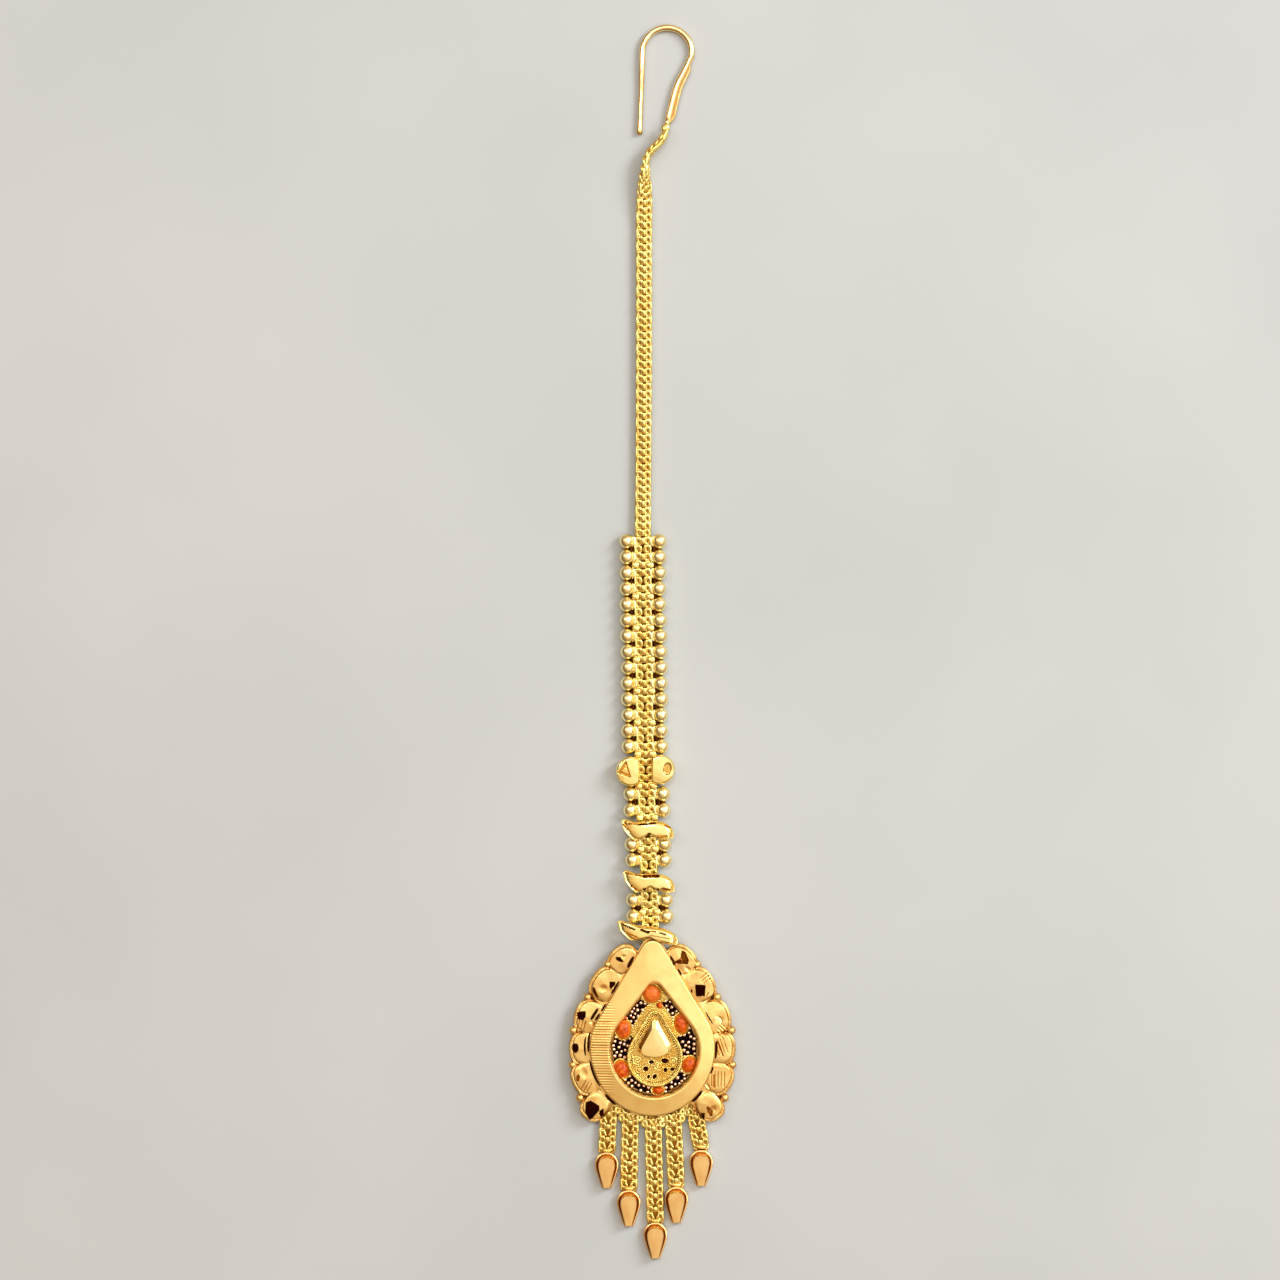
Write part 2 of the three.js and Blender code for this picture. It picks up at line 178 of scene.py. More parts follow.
# %% Table top
CLOUD_MM = 60
TABLE_SIZE = 3.0
table_material, tree = new_material("pale_table_board")
place = add_node(tree, "ShaderNodeTexCoord").outputs["Object"]
clouds = add_node(tree, "ShaderNodeTexNoise", {"Scale": per_metre(CLOUD_MM), "Detail": 3.0},
                  {"Vector": place})
shade = add_node(tree, "ShaderNodeValToRGB", links={"Fac": clouds.outputs["Fac"]},
                 stops=[(0.35, "#B9C2CB"), (0.65, "#BFC8D1")])
board = add_node(tree, "ShaderNodeBsdfPrincipled", {"Roughness": 0.65, "Specular IOR Level": 0.3},
                 {"Base Color": shade.outputs["Color"]})
add_node(tree, "ShaderNodeOutputMaterial", links={"Surface": board.outputs["BSDF"]})

bpy.ops.mesh.primitive_plane_add(size=TABLE_SIZE)
table = bpy.context.object
table.name = "table"
table.data.materials.append(table_material)
print("table", TABLE_SIZE, "m wide")

# %% [markdown]
# The room is one soft glow around a window high up at the upper right, which fades into shade
# towards the opposite wall. A flat face looks back at the ceiling, close to the glow. A face that
# leans to the upper right turns paler and yellower, and one that leans to the lower left turns
# deeper. The world's nodes work out how many degrees each direction is away from the window, and a
# colour ramp gives the room its colour there.

# %% Room
WINDOW = {"azimuth": 60, "elevation": 66}
# Degrees away from the window, and the colour of the room there.
ROOM = [(0, "#FFFFFF"), (20, "#FFFDF2"), (27, "#FBF2DE"), (36, "#EDCEA6"), (52, "#D2B18A"),
        (72, "#957B5E"), (95, "#5C4C3F"), (180, "#463D36")]
ROOM_STRENGTH = 1.12


def direction(azimuth, elevation):
    """A unit vector. Azimuth 0 is towards +Y and 90 towards +X."""
    turn, rise = math.radians(azimuth), math.radians(elevation)
    return Vector((math.sin(turn) * math.cos(rise), math.cos(turn) * math.cos(rise), math.sin(rise)))


world = bpy.data.worlds.new("studio")
bpy.context.scene.world = world
world.use_nodes = True
tree = world.node_tree
tree.nodes.clear()
looking = add_node(tree, "ShaderNodeTexCoord")
facing = add_node(tree, "ShaderNodeVectorMath",
                  {"operation": "DOT_PRODUCT", "Vector_001": tuple(direction(**WINDOW))},
                  {"Vector": looking.outputs["Generated"]})
angle = add_node(tree, "ShaderNodeMath", {"operation": "ARCCOSINE"},
                 {"Value": facing.outputs["Value"]})
half_turns = add_node(tree, "ShaderNodeMath", {"operation": "DIVIDE", "Value_001": math.pi},
                      {"Value": angle.outputs["Value"]})
walls = add_node(tree, "ShaderNodeValToRGB", links={"Fac": half_turns.outputs["Value"]},
                 stops=[(degrees / 180, colour) for degrees, colour in ROOM])
room_light = add_node(tree, "ShaderNodeBackground", {"Strength": ROOM_STRENGTH},
                      {"Color": walls.outputs["Color"]})
add_node(tree, "ShaderNodeOutputWorld", links={"Surface": room_light.outputs["Background"]})
print("the room changes colour at", [degrees for degrees, _ in ROOM], "degrees from the window")

# %% [markdown]
# Light panels add the crisp edges that tell the eye it sees polished metal. Each is an area light,
# placed by the direction it comes from and aimed at the piece. The right strip is the main one,
# and the others put a thin line on edges that it doesn't reach.

# %% Light panels
PANEL_DISTANCE = 0.8
PANELS = [
    {"name": "right_strip", "azimuth": 60, "elevation": 38, "size": (0.2, 0.36), "power": 3.4,
     "colour": "#FFFBF6"},
    {"name": "low_right_strip", "azimuth": 108, "elevation": 50, "size": (0.1, 0.24), "power": 0.6,
     "colour": "#FFFDFA"},
    {"name": "left_strip", "azimuth": 300, "elevation": 52, "size": (0.05, 0.3), "power": 0.7,
     "colour": "#FFF6EC"},
    {"name": "small_spark", "azimuth": 345, "elevation": 72, "size": (0.07, 0.07), "power": 0.9,
     "colour": "#FFFFFF"},
]

for panel in PANELS:
    light = bpy.data.lights.new(panel["name"], "AREA")
    light.shape = "RECTANGLE"
    light.size, light.size_y = panel["size"]
    light.energy = panel["power"]
    light.color = linear(panel["colour"])[:3]
    towards = direction(panel["azimuth"], panel["elevation"])
    lamp = bpy.data.objects.new(panel["name"], light)
    lamp.location = towards * PANEL_DISTANCE
    lamp.rotation_euler = towards.to_track_quat("Z", "Y").to_euler()
    bpy.context.scene.collection.objects.link(lamp)
print("light panels:", [panel["name"] for panel in PANELS])

# %% [markdown]
# ## Small tools for shapes
#
# Every piece is made of *shells*: a set of points with faces between them, and for each point how
# dark it is painted, with oxide and with painted shade. Three ways of making one cover the whole
# jewel. A **loft** skins over a row of rings with the same number of points. A **sweep** carries a
# section along a path, which is what a draw plate does to wire. A **pillow** shrinks an outline
# towards its middle while it rises, as a punch domes a sheet.

# %% Shells and lofts


class Shell:
    """Points in millimetres, faces between them, and each point's darkening from 0 to 1: oxide and
    painted shade.
    """

    def __init__(self, points, faces, dark=0.0):
        self.points = np.asarray(points, float)
        self.faces = faces
        self.dark = np.zeros(len(self.points)) + dark

    def moved(self, x=0.0, y=0.0, z=0.0):
        """A copy, moved by so many millimetres."""
        return Shell(self.points + np.array([x, y, z]), self.faces, self.dark)

    def turned(self, axis, degrees):
        """A copy, turned about the origin's X, Y or Z axis."""
        matrix = np.array(Matrix.Rotation(math.radians(degrees), 3, axis))
        return Shell(self.points @ matrix.T, self.faces, self.dark)

    def set_in(self, origin, axes):
        """Carries the shell into a place whose own x, y and z axes are the rows of axes."""
        return Shell(self.points @ np.asarray(axes) + np.asarray(origin), self.faces, self.dark)


def joined(shells):
    """Several shells as one. They may touch or cross, as soldered parts do."""
    faces, count = [], 0
    for shell in shells:
        faces += [tuple(i + count for i in face) for face in shell.faces]
        count += len(shell.points)
    points = np.concatenate([shell.points for shell in shells])
    return Shell(points, faces, np.concatenate([shell.dark for shell in shells]))


def loft(rings, closed=False):
    """Skins over rings of points. An open loft is capped at both ends."""
    rings = np.asarray(rings, float)
    index = np.arange(rings.shape[0] * rings.shape[1]).reshape(rings.shape[:2])
    here = index if closed else index[:-1]
    ahead = np.roll(index, -1, 0) if closed else index[1:]
    corners = [here, np.roll(here, -1, 1), np.roll(ahead, -1, 1), ahead]
    faces = [tuple(face) for face in np.stack(corners, -1).reshape(-1, 4).tolist()]
    if not closed:
        faces += [tuple(index[0].tolist()[::-1]), tuple(index[-1].tolist())]
    return Shell(rings.reshape(-1, 3), faces)


def flat_path(points, z):
    """Points in a plane, all given the same height."""
    points = np.asarray(points, float)
    return np.column_stack([points, np.full(len(points), float(z))])


cube = loft([flat_path([(0, 0), (1, 0), (1, 1), (0, 1)], z) for z in (0, 1)])
print("a loft over two squares is a box with", len(cube.faces), "faces")

# %% [markdown]
# A goldsmith's outlines are drawn with a compass and a curve through a few pricked points, so
# these are the paths here too. Once a path is drawn, its points are set out evenly, which keeps
# the faces of what is made along it alike.

# %% Arcs, ovals and curves
CURVE_STEPS = 24


def arc(x, y, across, along, start, stop, count):
    """Points on an ellipse between two angles in degrees, both ends included."""
    turn = np.radians(np.linspace(start, stop, count))
    return np.column_stack([x + across * np.cos(turn), y + along * np.sin(turn)])


def circle(radius, sides):
    """A closed round outline about the origin."""
    return arc(0, 0, radius, radius, 0, 360, sides + 1)[:-1]


def oval(across, along, count, turn=0.0, x=0.0, y=0.0):
    """A closed ellipse with the given half widths, turned and moved."""
    points = arc(0, 0, across, along, 0, 360, count + 1)[:-1]
    cosine, sine = math.cos(math.radians(turn)), math.sin(math.radians(turn))
    return points @ np.array([[cosine, sine], [-sine, cosine]]) + np.array([x, y])


def distances(path):
    """How far along a path each of its points lies."""
    return np.concatenate([[0], np.cumsum(np.linalg.norm(np.diff(path, axis=0), axis=1))])


def evenly(path, spacing=None, count=None, closed=False):
    """The same path with its points the same distance apart."""
    path = np.asarray(path, float)
    if closed:
        path = np.vstack([path, path[:1]])
    along = distances(path)
    if count is None:
        count = max(2, round(along[-1] / spacing)) + (0 if closed else 1)
    at = np.linspace(0, along[-1], count, endpoint=not closed)
    return np.column_stack([np.interp(at, along, values) for values in path.T])


def smooth_curve(points, spacing):
    """A curve through points: each stretch is a cubic that leaves along its neighbours' line."""
    points = np.asarray(points, float)
    padded = np.vstack([2 * points[0] - points[1], points, 2 * points[-1] - points[-2]])
    t = np.linspace(0, 1, CURVE_STEPS, endpoint=False)[:, None]
    made = []
    for before, a, b, after in zip(padded, padded[1:], padded[2:], padded[3:]):
        length = np.linalg.norm(b - a)
        leave = (b - before) / np.linalg.norm(b - before) * length
        arrive = (after - a) / np.linalg.norm(after - a) * length
        made.append(
            (2 * t**3 - 3 * t**2 + 1) * a
            + (t**3 - 2 * t**2 + t) * leave
            + (3 * t**2 - 2 * t**3) * b
            + (t**3 - t**2) * arrive
        )
    return evenly(np.vstack([*made, points[-1:]]), spacing=spacing)


print("a curve 10 mm long has", len(smooth_curve([(0, 0), (4, 0), (10, 0)], 0.5)), "points, 0.5 apart")

# %% [markdown]
# Wire is a section carried along a path. A file rounds its ends. Two thin strands twisted about
# each other make the rope wire that jewellers lay round a setting. The direction called up keeps a
# section from rolling as the path bends.

# %% Sweeps, wire and rope
# How a wire's end rounds over: shares of its radius further out, and shares of its width.
ROUND_END = [(0.5, 0.87), (0.85, 0.53), (0.98, 0.2)]


def path_axes(path, up=(0, 0, 1), closed=False):
    """For each point of a path, unit vectors to the side, ahead and up."""
    if closed:
        ahead = np.roll(path, -1, 0) - np.roll(path, 1, 0)
    else:
        ahead = np.gradient(path, axis=0)
    ahead /= np.linalg.norm(ahead, axis=1, keepdims=True)
    side = np.cross(ahead, np.broadcast_to(up, ahead.shape))
    side /= np.linalg.norm(side, axis=1, keepdims=True)
    return side, ahead, np.cross(side, ahead)


def sweep(path, section, up=(0, 0, 1), closed=False):
    """Carries a section of (side, up) points along a path. It may be one section per point."""
    path, section = np.asarray(path, float), np.asarray(section, float)
    side, _, lift = path_axes(path, up, closed)
    across, above = section[..., 0][..., None], section[..., 1][..., None]
    return loft(path[:, None] + side[:, None] * across + lift[:, None] * above, closed)


def wire(path, radius, sides):
    """A drawn wire along an open path, with its ends rounded over. Its radius may change."""
    path = np.asarray(path, float)
    radii = np.broadcast_to(radius, len(path))
    first, last = path[0] - path[1], path[-1] - path[-2]
    first, last = first / np.linalg.norm(first), last / np.linalg.norm(last)
    before = [path[0] + first * radii[0] * out for out, _ in reversed(ROUND_END)]
    after = [path[-1] + last * radii[-1] * out for out, _ in ROUND_END]
    widths = np.array([width for _, width in ROUND_END])
    scale = np.concatenate([widths[::-1] * radii[0], radii, widths * radii[-1]])
    section = circle(1.0, sides)[None] * scale[:, None, None]
    return sweep(np.vstack([before, path, after]), section)


def rope(path, strand, pitch, sides=6, closed=False):
    """Two strands twisted about a path, whose points lie much closer together than the pitch."""
    path = np.asarray(path, float)
    side, _, lift = path_axes(path, closed=closed)
    gaps = np.linalg.norm(np.roll(path, -1, 0) - path, axis=1)
    length = gaps.sum() if closed else gaps[:-1].sum()
    along = np.concatenate([[0], np.cumsum(gaps)[:-1]])
    turns = round(length / pitch) if closed else length / pitch
    made = []
    for start in (0, 0.5):
        angle = (along / length * turns + start) * TURN
        out = side * np.cos(angle)[:, None] + lift * np.sin(angle)[:, None]
        made.append(sweep(path + out * strand, circle(strand, sides), up=out, closed=closed))
    return made


straight = wire([(0, 0, 0), (10, 0, 0)], 0.3, sides=8)
print("a wire 10 mm long measures", np.ptp(straight.points[:, 0]).round(2), "mm over its round ends")

# %% [markdown]
# Beads and granules are balls. A domed sheet is a pillow, and a plate is a slab whose edge has been
# filed in steps. An inset moves an outline inwards by the same distance all round, as a scribing
# compass would.

# %% Balls, pillows and stepped slabs
# A ball's rings end just short of its poles, in a very small flat.
POLE = 0.49 * math.pi


def ball(x, y, z, radius, around, rings):
    """A bead or granule with so many points around it, in so many rings."""
    rise = np.linspace(-POLE, POLE, rings)
    unit = circle(1.0, around)
    made = [flat_path(unit * math.cos(a) * radius, math.sin(a) * radius) for a in rise]
    return loft(made).moved(x, y, z)


def pillow(outline, levels, centre=None):
    """Shrinks an outline towards its centre. Levels are rows of (share of its size, height)."""
    outline = np.asarray(outline, float)
    centre = outline.mean(0) if centre is None else np.asarray(centre, float)
    return loft([flat_path(centre + (outline - centre) * share, z) for share, z in levels])


def inset(outline, distance):
    """A convex outline, counter-clockwise, moved inwards by a distance in millimetres."""
    outline = np.asarray(outline, float)
    edge = np.roll(outline, -1, 0) - np.roll(outline, 1, 0)
    edge /= np.linalg.norm(edge, axis=1, keepdims=True)
    return outline + np.column_stack([-edge[:, 1], edge[:, 0]]) * distance


def stepped(outline, levels, crown=()):
    """A slab with a moulded edge and a crown.

    Levels are rows of (distance inwards, height), and crown continues with pillow's levels."""
    rings = [flat_path(inset(outline, distance), z) for distance, z in levels]
    last = rings[-1][:, :2]
    centre = last.mean(0)
    rings += [flat_path(centre + (last - centre) * share, z) for share, z in crown]
    return loft(rings)


print("a ball in 7 rings of 10 points has", len(ball(0, 0, 0, 1, 10, 7).faces), "faces")

# %% [markdown]
# Cuts are made after a shell is built. Each cut first asks how far inside its shape every point
# lies, from 0 on the edge to 1 once a *wall* has been passed, and then lowers those points. The
# same share paints them darker, as painted shade in the cut.

# %% Cuts


def ease(values, low, high):
    """0 below low, 1 above high and a smooth curve between."""
    t = np.clip((values - low) / (high - low), 0, 1)
    return t * t * (3 - 2 * t)


def from_middle(points, x, y, turn):
    """How far points lie from (x, y), along two axes that are turned by so many degrees."""
    angle = math.radians(turn)
    dx, dy = points[..., 0] - x, points[..., 1] - y
    return (dx * math.cos(angle) + dy * math.sin(angle),
            dy * math.cos(angle) - dx * math.sin(angle))


def in_polygon(points, corners, wall):
    """The share of each point inside a convex polygon."""
    corners = np.asarray(corners, float)
    ahead = np.roll(corners, -1, 0) - corners
    turning = np.cross(ahead, np.roll(ahead, -1, 0)).sum()
    inwards = np.column_stack([-ahead[:, 1], ahead[:, 0]]) * np.sign(turning)
    inwards /= np.linalg.norm(inwards, axis=1, keepdims=True)
    distance = ((points[:, None, :2] - corners[None]) * inwards[None]).sum(-1).min(1)
    return ease(distance, 0, wall)


def in_groove(points, start, stop, half_width, wall):
    """The share of each point inside a groove with round ends, along a straight line."""
    start, stop = np.asarray(start, float), np.asarray(stop, float)
    along = stop - start
    share = ((points[:, :2] - start) @ along) / max(along @ along, 1e-9)
    nearest = start + np.clip(share, 0, 1)[:, None] * along
    return ease(half_width - np.hypot(*(points[:, :2] - nearest).T), 0, wall)


def in_oval(points, x, y, across, along, turn, wall):
    """The share of each point inside an ellipse. Its wall is a share of its size."""
    u, v = from_middle(points, x, y, turn)
    return ease(1 - np.hypot(u / across, v / along), 0, wall)


def sink(shell, share, depth, dark, above):
    """Lowers a shell where share is over 0, above a height only, and paints shade into it there."""
    share = share * (shell.points[:, 2] > above)
    shell.points[:, 2] -= share * depth
    shell.dark = np.maximum(shell.dark, share * dark)


print("inside and beside a groove the shares are",
      in_groove(np.array([(0, 0, 0), (0, 0.3, 0)]), (-1, 0), (1, 0), half_width=0.2, wall=0.1))

# %% [markdown]
# A cut can also be a plane. A diamond-tipped tool takes a small flat that leans towards the light
# and flashes, and a file presses a broad flat onto a bead.

# %% Flats
# The flashing flats all face the window and lean by this many degrees.
FLASH = {"azimuth": 60, "lean": 26}


def bright_cut(shell, x, y, size, above):
    """Cuts a small flat that leans towards the light, out of what lies above a height."""
    turn, slope = math.radians(FLASH["azimuth"]), math.tan(math.radians(FLASH["lean"]))
    dx, dy = shell.points[:, 0] - x, shell.points[:, 1] - y
    near = (np.hypot(dx, dy) < size) & (shell.points[:, 2] > above)
    uphill = dx[near] * math.sin(turn) + dy[near] * math.cos(turn)
    plane = shell.points[near, 2].mean() - slope * uphill
    shell.points[near, 2] = np.minimum(shell.points[near, 2], plane)


def press_flat(shell, depth, azimuth, lean):
    """Files a flat onto a shell: a plane that leans away from the top, so deep into it."""
    turn, tilt = math.radians(azimuth), math.radians(lean)
    way = np.array([math.sin(turn) * math.sin(tilt), math.cos(turn) * math.sin(tilt), math.cos(tilt)])
    height = shell.points @ way
    above = np.clip(height - (height.max() - depth), 0, None)
    shell.points = shell.points - above[:, None] * way


trial = ball(0, 0, 0, 1, 24, 16)
press_flat(trial, 0.2, azimuth=0, lean=0)
print("a flat 0.2 mm deep leaves a ball of radius 1", trial.points[:, 2].max().round(2), "mm high")

# %% [markdown]
# Four outlines of the pendant are pears of the same construction: half an ellipse below the widest
# line, a shallower one above it, and straight flanks that leave it at a tangent and would meet at
# the peak but for a rounded tip.

# %% Pears
# Each pear's middle, half width, how far it reaches below and above its widest line, how high its
# flanks would meet, and the radius of its tip.
PEARS = {
    "frame": {"x": 0, "y": -0.6, "half": 8.13, "below": 9.1, "above": 6.9, "peak": 15, "tip": 1.4},
    "well": {"x": 0.3, "y": -1, "half": 5.65, "below": 6.1, "above": 5.3, "peak": 9.2, "tip": 1.1},
    "centre": {"x": 0.35, "y": -2.1, "half": 3.56, "below": 3.75, "above": 3.8, "peak": 7.1,
               "tip": 1.1},
    "plate": {"x": 0.35, "y": -1.0, "half": 2.15, "below": 0.98, "above": 1.8, "peak": 4.3,
              "tip": 0.45},
}
PEAR_STEPS = 60


def pear(name, grow=0.0, count=240):
    """A pear's outline, counter-clockwise and evenly spaced, moved outwards by grow."""
    p = PEARS[name]
    touch = math.asin(p["above"] / p["peak"])
    flank = math.atan2(p["half"] * math.cos(touch), p["peak"] - p["above"] * math.sin(touch))
    tip = p["tip"] + grow
    tip_y = p["y"] + p["peak"] - p["tip"] / math.sin(flank)
    touch_at, flank_at = math.degrees(touch), math.degrees(flank)
    half, above, below = p["half"] + grow, p["above"] + grow, p["below"] + grow
    runs = [
        arc(p["x"], p["y"], half, below, 180, 360, 2 * PEAR_STEPS),
        arc(p["x"], p["y"], half, above, 0, touch_at, PEAR_STEPS)[1:],
        arc(p["x"], tip_y, tip, tip, flank_at, 180 - flank_at, PEAR_STEPS),
        arc(p["x"], p["y"], half, above, 180 - touch_at, 180, PEAR_STEPS)[:-1],
    ]
    return evenly(np.vstack(runs), count=count, closed=True)


def inside(outline, x, y):
    """Whether a point lies inside an outline, by counting the edges to its right."""
    x1, y1 = outline.T
    x2, y2 = np.roll(outline, -1, 0).T
    crosses = (y1 > y) != (y2 > y)
    at = x1 + (y - y1) / np.where(y2 == y1, 1e-9, y2 - y1) * (x2 - x1)
    return bool(np.sum(crosses & (x < at)) % 2)


print("frame outline is", np.ptp(pear("frame"), axis=0).round(2), "mm across and along")

# %% [markdown]
# One function turns shells into a finished piece: it puts them into the model's frame, rounds the
# shading wherever two faces meet at less than a given angle, stores each point's oxide and painted
# shade as an attribute that the materials read, and hides the construction node that the piece
# stands for.

# %% From shells to a piece of the model
made_pieces = {}


def make_piece(name, shells, material, slot, *nodes, smooth_below=62):
    """Makes one piece from shells and hides the construction nodes that it stands for. slot is not
    used.
    """
    whole = joined(shells)
    mesh = bpy.data.meshes.new(name)
    mesh.from_pydata(to_metres(whole.points).tolist(), [], whole.faces)
    work = bmesh.new()
    work.from_mesh(mesh)
    bmesh.ops.recalc_face_normals(work, faces=work.faces)
    work.to_mesh(mesh)
    work.free()
    # The attribute holds each point's darkening: oxide and painted shade.
    mesh.attributes.new("tarnish_and_shade", "FLOAT", "POINT").data.foreach_set("value", whole.dark)
    mesh.shade_smooth()
    mesh.set_sharp_from_angle(angle=math.radians(smooth_below))
    mesh.materials.append(material)
    piece = bpy.data.objects.new(name, mesh)
    bpy.context.scene.collection.objects.link(piece)
    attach(piece, "root")
    if nodes:
        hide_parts(*nodes)
    made_pieces[name] = sum(len(polygon.vertices) - 2 for polygon in mesh.polygons)
    print(f"{name}: {made_pieces[name]} triangles")


print("every piece is listed with its triangles when it is made")

# %% [markdown]
# ## Finishes
#
# Yellow gold of about 22 carats is one metal with many surfaces. Drawn wire and cast beads are
# barrel polished: bright, with a faint waviness that breaks up the reflection. The pendant's
# frame is satin, brushed until it scatters. The little mirror plate is burnished. Each gold mixes
# in a dark brown where the pieces' attribute of oxide and painted shade says so, and in the
# tightest corners, which an ambient occlusion node finds: there the brown is painted shade.

# %% One gold, many surfaces
HUE_DRIFT_MM = 1.6
# What the darkening, oxide and painted shade alike, does to gold's colour, from none to the
# thickest, which hides it.
FILM = [(0.0, "#FFFFFF"), (0.45, "#D8AC6C"), (0.8, "#7A5024")]


def gold(name, light, deep, roughness, wave_mm=0.6, wave_height=0.004, corner_mm=0.5, corner=0.8,
         oxide="#2A0D04"):
    """Gold with two hues drifting together, fine waviness, and oxide and painted shade in recesses.

    roughness is a low and a high value that alternate over small patches. wave_mm and
    wave_height are the width and height of the polish's waviness, corner_mm is how narrow a
    recess has to be for ambient occlusion to paint shade into it, and corner how dark that goes."""
    material, tree = new_material(name)
    place = add_node(tree, "ShaderNodeTexCoord").outputs["Object"]
    drift = add_node(tree, "ShaderNodeTexNoise", {"Scale": per_metre(HUE_DRIFT_MM)},
                     {"Vector": place})
    hue = add_node(tree, "ShaderNodeValToRGB", links={"Fac": drift.outputs["Fac"]},
                   stops=[(0.32, deep), (0.62, light)])
    tarnish_and_shade = add_node(tree, "ShaderNodeAttribute", {"attribute_name": "tarnish_and_shade"})
    # Ambient occlusion paints shade, in oxide's brown, into the tightest corners.
    shut_in = add_node(tree, "ShaderNodeAmbientOcclusion",
                       {"samples": 3, "Distance": corner_mm * MM})
    in_corner = add_node(tree, "ShaderNodeValToRGB", links={"Fac": shut_in.outputs["AO"]},
                         stops=[(0.08, corner), (0.5, 0.0)])
    amount = add_node(tree, "ShaderNodeMath", {"operation": "MAXIMUM"},
                      {"Value": tarnish_and_shade.outputs["Fac"], "Value_001": in_corner.outputs["Color"]})
    film = add_node(tree, "ShaderNodeValToRGB", links={"Fac": amount.outputs["Value"]},
                    stops=[*FILM, (1.0, oxide)])
    colour = add_node(tree, "ShaderNodeMix",
                      {"data_type": "RGBA", "blend_type": "MULTIPLY", "Factor_Float": 1.0},
                      {"A_Color": hue.outputs["Color"], "B_Color": film.outputs["Color"]})
    wave = add_node(tree, "ShaderNodeTexNoise", {"Scale": per_metre(wave_mm), "Detail": 4.0},
                    {"Vector": place})
    sheen = add_node(tree, "ShaderNodeMapRange", {"To Min": roughness[0], "To Max": roughness[1]},
                     {"Value": wave.outputs["Fac"]})
    relief = add_node(tree, "ShaderNodeBump", {"Distance": wave_height * MM},
                      {"Height": wave.outputs["Fac"]})
    metal = add_node(tree, "ShaderNodeBsdfPrincipled", {"Metallic": 1.0},
                     {"Base Color": outlet(colour, "Result_Color"),
                      "Roughness": sheen.outputs["Result"], "Normal": relief.outputs["Normal"]})
    add_node(tree, "ShaderNodeOutputMaterial", links={"Surface": metal.outputs["BSDF"]})
    return material


print("a hue drifts over", HUE_DRIFT_MM, "mm, and oxide's film has", len(FILM) + 1, "steps")

# %% [markdown]
# Ten finishes come from that one function. What tells them apart to the eye is how a smith left
# the surface: how rough it is, how uneven, and how much dirt its corners hold.

# %% The gold finishes
# Tumbled in steel shot: the beads are the palest and brightest gold, with soft round highlights.
polished_gold = gold("barrel_polished_gold", "#FFF6C0", "#FFE9AA", (0.22, 0.36), corner_mm=0.35,
                     corner=0.6)
# Drawn through a steel plate: the hook's wire is smooth, with a line of light along it.
drawn_gold = gold("drawn_gold_wire", "#FFE8B0", "#F9D694", (0.16, 0.26))
# Soldered and then dipped in acid: the links glitter, but each is a little matt.
link_gold = gold("soldered_gold_links", "#F8E796", "#EFD278", (0.24, 0.4), corner=0.75)
# Cut with a diamond tip: bars and faceted beads have flat, clear reflections.
cut_gold = gold("bright_cut_gold", "#FFEEA2", "#FBDF90", (0.16, 0.3), wave_height=0.003)
# Struck from sheet in a die: the petals are deeper in colour and slightly uneven.
struck_gold = gold("struck_gold_sheet", "#F0D088", "#E2B46A", (0.28, 0.44), wave_mm=0.7,
                   wave_height=0.02)
# Stamped and buffed: the drops have broad, soft reflections.
drop_gold = gold("polished_drop_gold", "#FADA9C", "#F2C98A", (0.24, 0.38))
# Brushed with a wire wheel: the frame scatters the light and shows no sharp reflection.
satin_gold = gold("brushed_satin_gold", "#F3D78E", "#EDCA80", (0.3, 0.42), wave_mm=0.25,
                  wave_height=0.006)
# Rubbed with a steel burnisher: the plate is the only surface that is nearly a mirror.
burnished_gold = gold("burnished_gold", "#FBE6A4", "#F9E29C", (0.18, 0.24), wave_mm=2.0,
                      wave_height=0.002)
# Melted to grains and wire: many small points of light, with brown painted shade in the narrow gaps.
grain_gold = gold("granulated_gold", "#FFF2A0", "#FADC78", (0.2, 0.34), corner_mm=0.3, corner=0.75)
# Blackened with sulphur: nearly black, and pink-gold where the grains' crowns carry a painted
# highlight.
blackened = gold("gold_on_blackened_ground", "#FFEFE2", "#FBDCC4", (0.2, 0.34), corner=1.0,
                 oxide="#160A12")
print("gold finishes, from", polished_gold.name, "to", blackened.name)

# %% [markdown]
# The enamel is opaque orange glass, ground to powder, fired in its collet and left domed by
# surface tension. It is glossy over a colour that is mottled where grains of frit didn't quite
# melt together. At the rim it is thin and lets the gold through, so there it is paler: the
# attribute that stands for oxide and painted shade on the metal stands for this thinness on the glass.

# %% Enamel
FRIT_MM = 0.4
DIMPLE_MM = 0.03
enamel, tree = new_material("fired_orange_enamel")
place = add_node(tree, "ShaderNodeTexCoord").outputs["Object"]
frit = add_node(tree, "ShaderNodeTexNoise", {"Scale": per_metre(FRIT_MM), "Detail": 3.0},
                {"Vector": place})
orange = add_node(tree, "ShaderNodeValToRGB", links={"Fac": frit.outputs["Fac"]},
                  stops=[(0.3, "#9C2C00"), (0.5, "#CC4E00"), (0.72, "#EC8020")])
thin = add_node(tree, "ShaderNodeAttribute", {"attribute_name": "tarnish_and_shade"})
melted = add_node(tree, "ShaderNodeMix", {"data_type": "RGBA", "B_Color": linear("#F08A34")},
                  {"Factor_Float": thin.outputs["Fac"], "A_Color": orange.outputs["Color"]})
dimples = add_node(tree, "ShaderNodeBump", {"Distance": DIMPLE_MM * MM},
                   {"Height": frit.outputs["Fac"]})
glass = add_node(tree, "ShaderNodeBsdfPrincipled",
                 {"Roughness": 0.3, "IOR": 1.5, "Specular IOR Level": 0.35},
                 {"Base Color": outlet(melted, "Result_Color"), "Normal": dimples.outputs["Normal"]})
add_node(tree, "ShaderNodeOutputMaterial", links={"Surface": glass.outputs["BSDF"]})
print("enamel with grains of frit", FRIT_MM, "mm across")

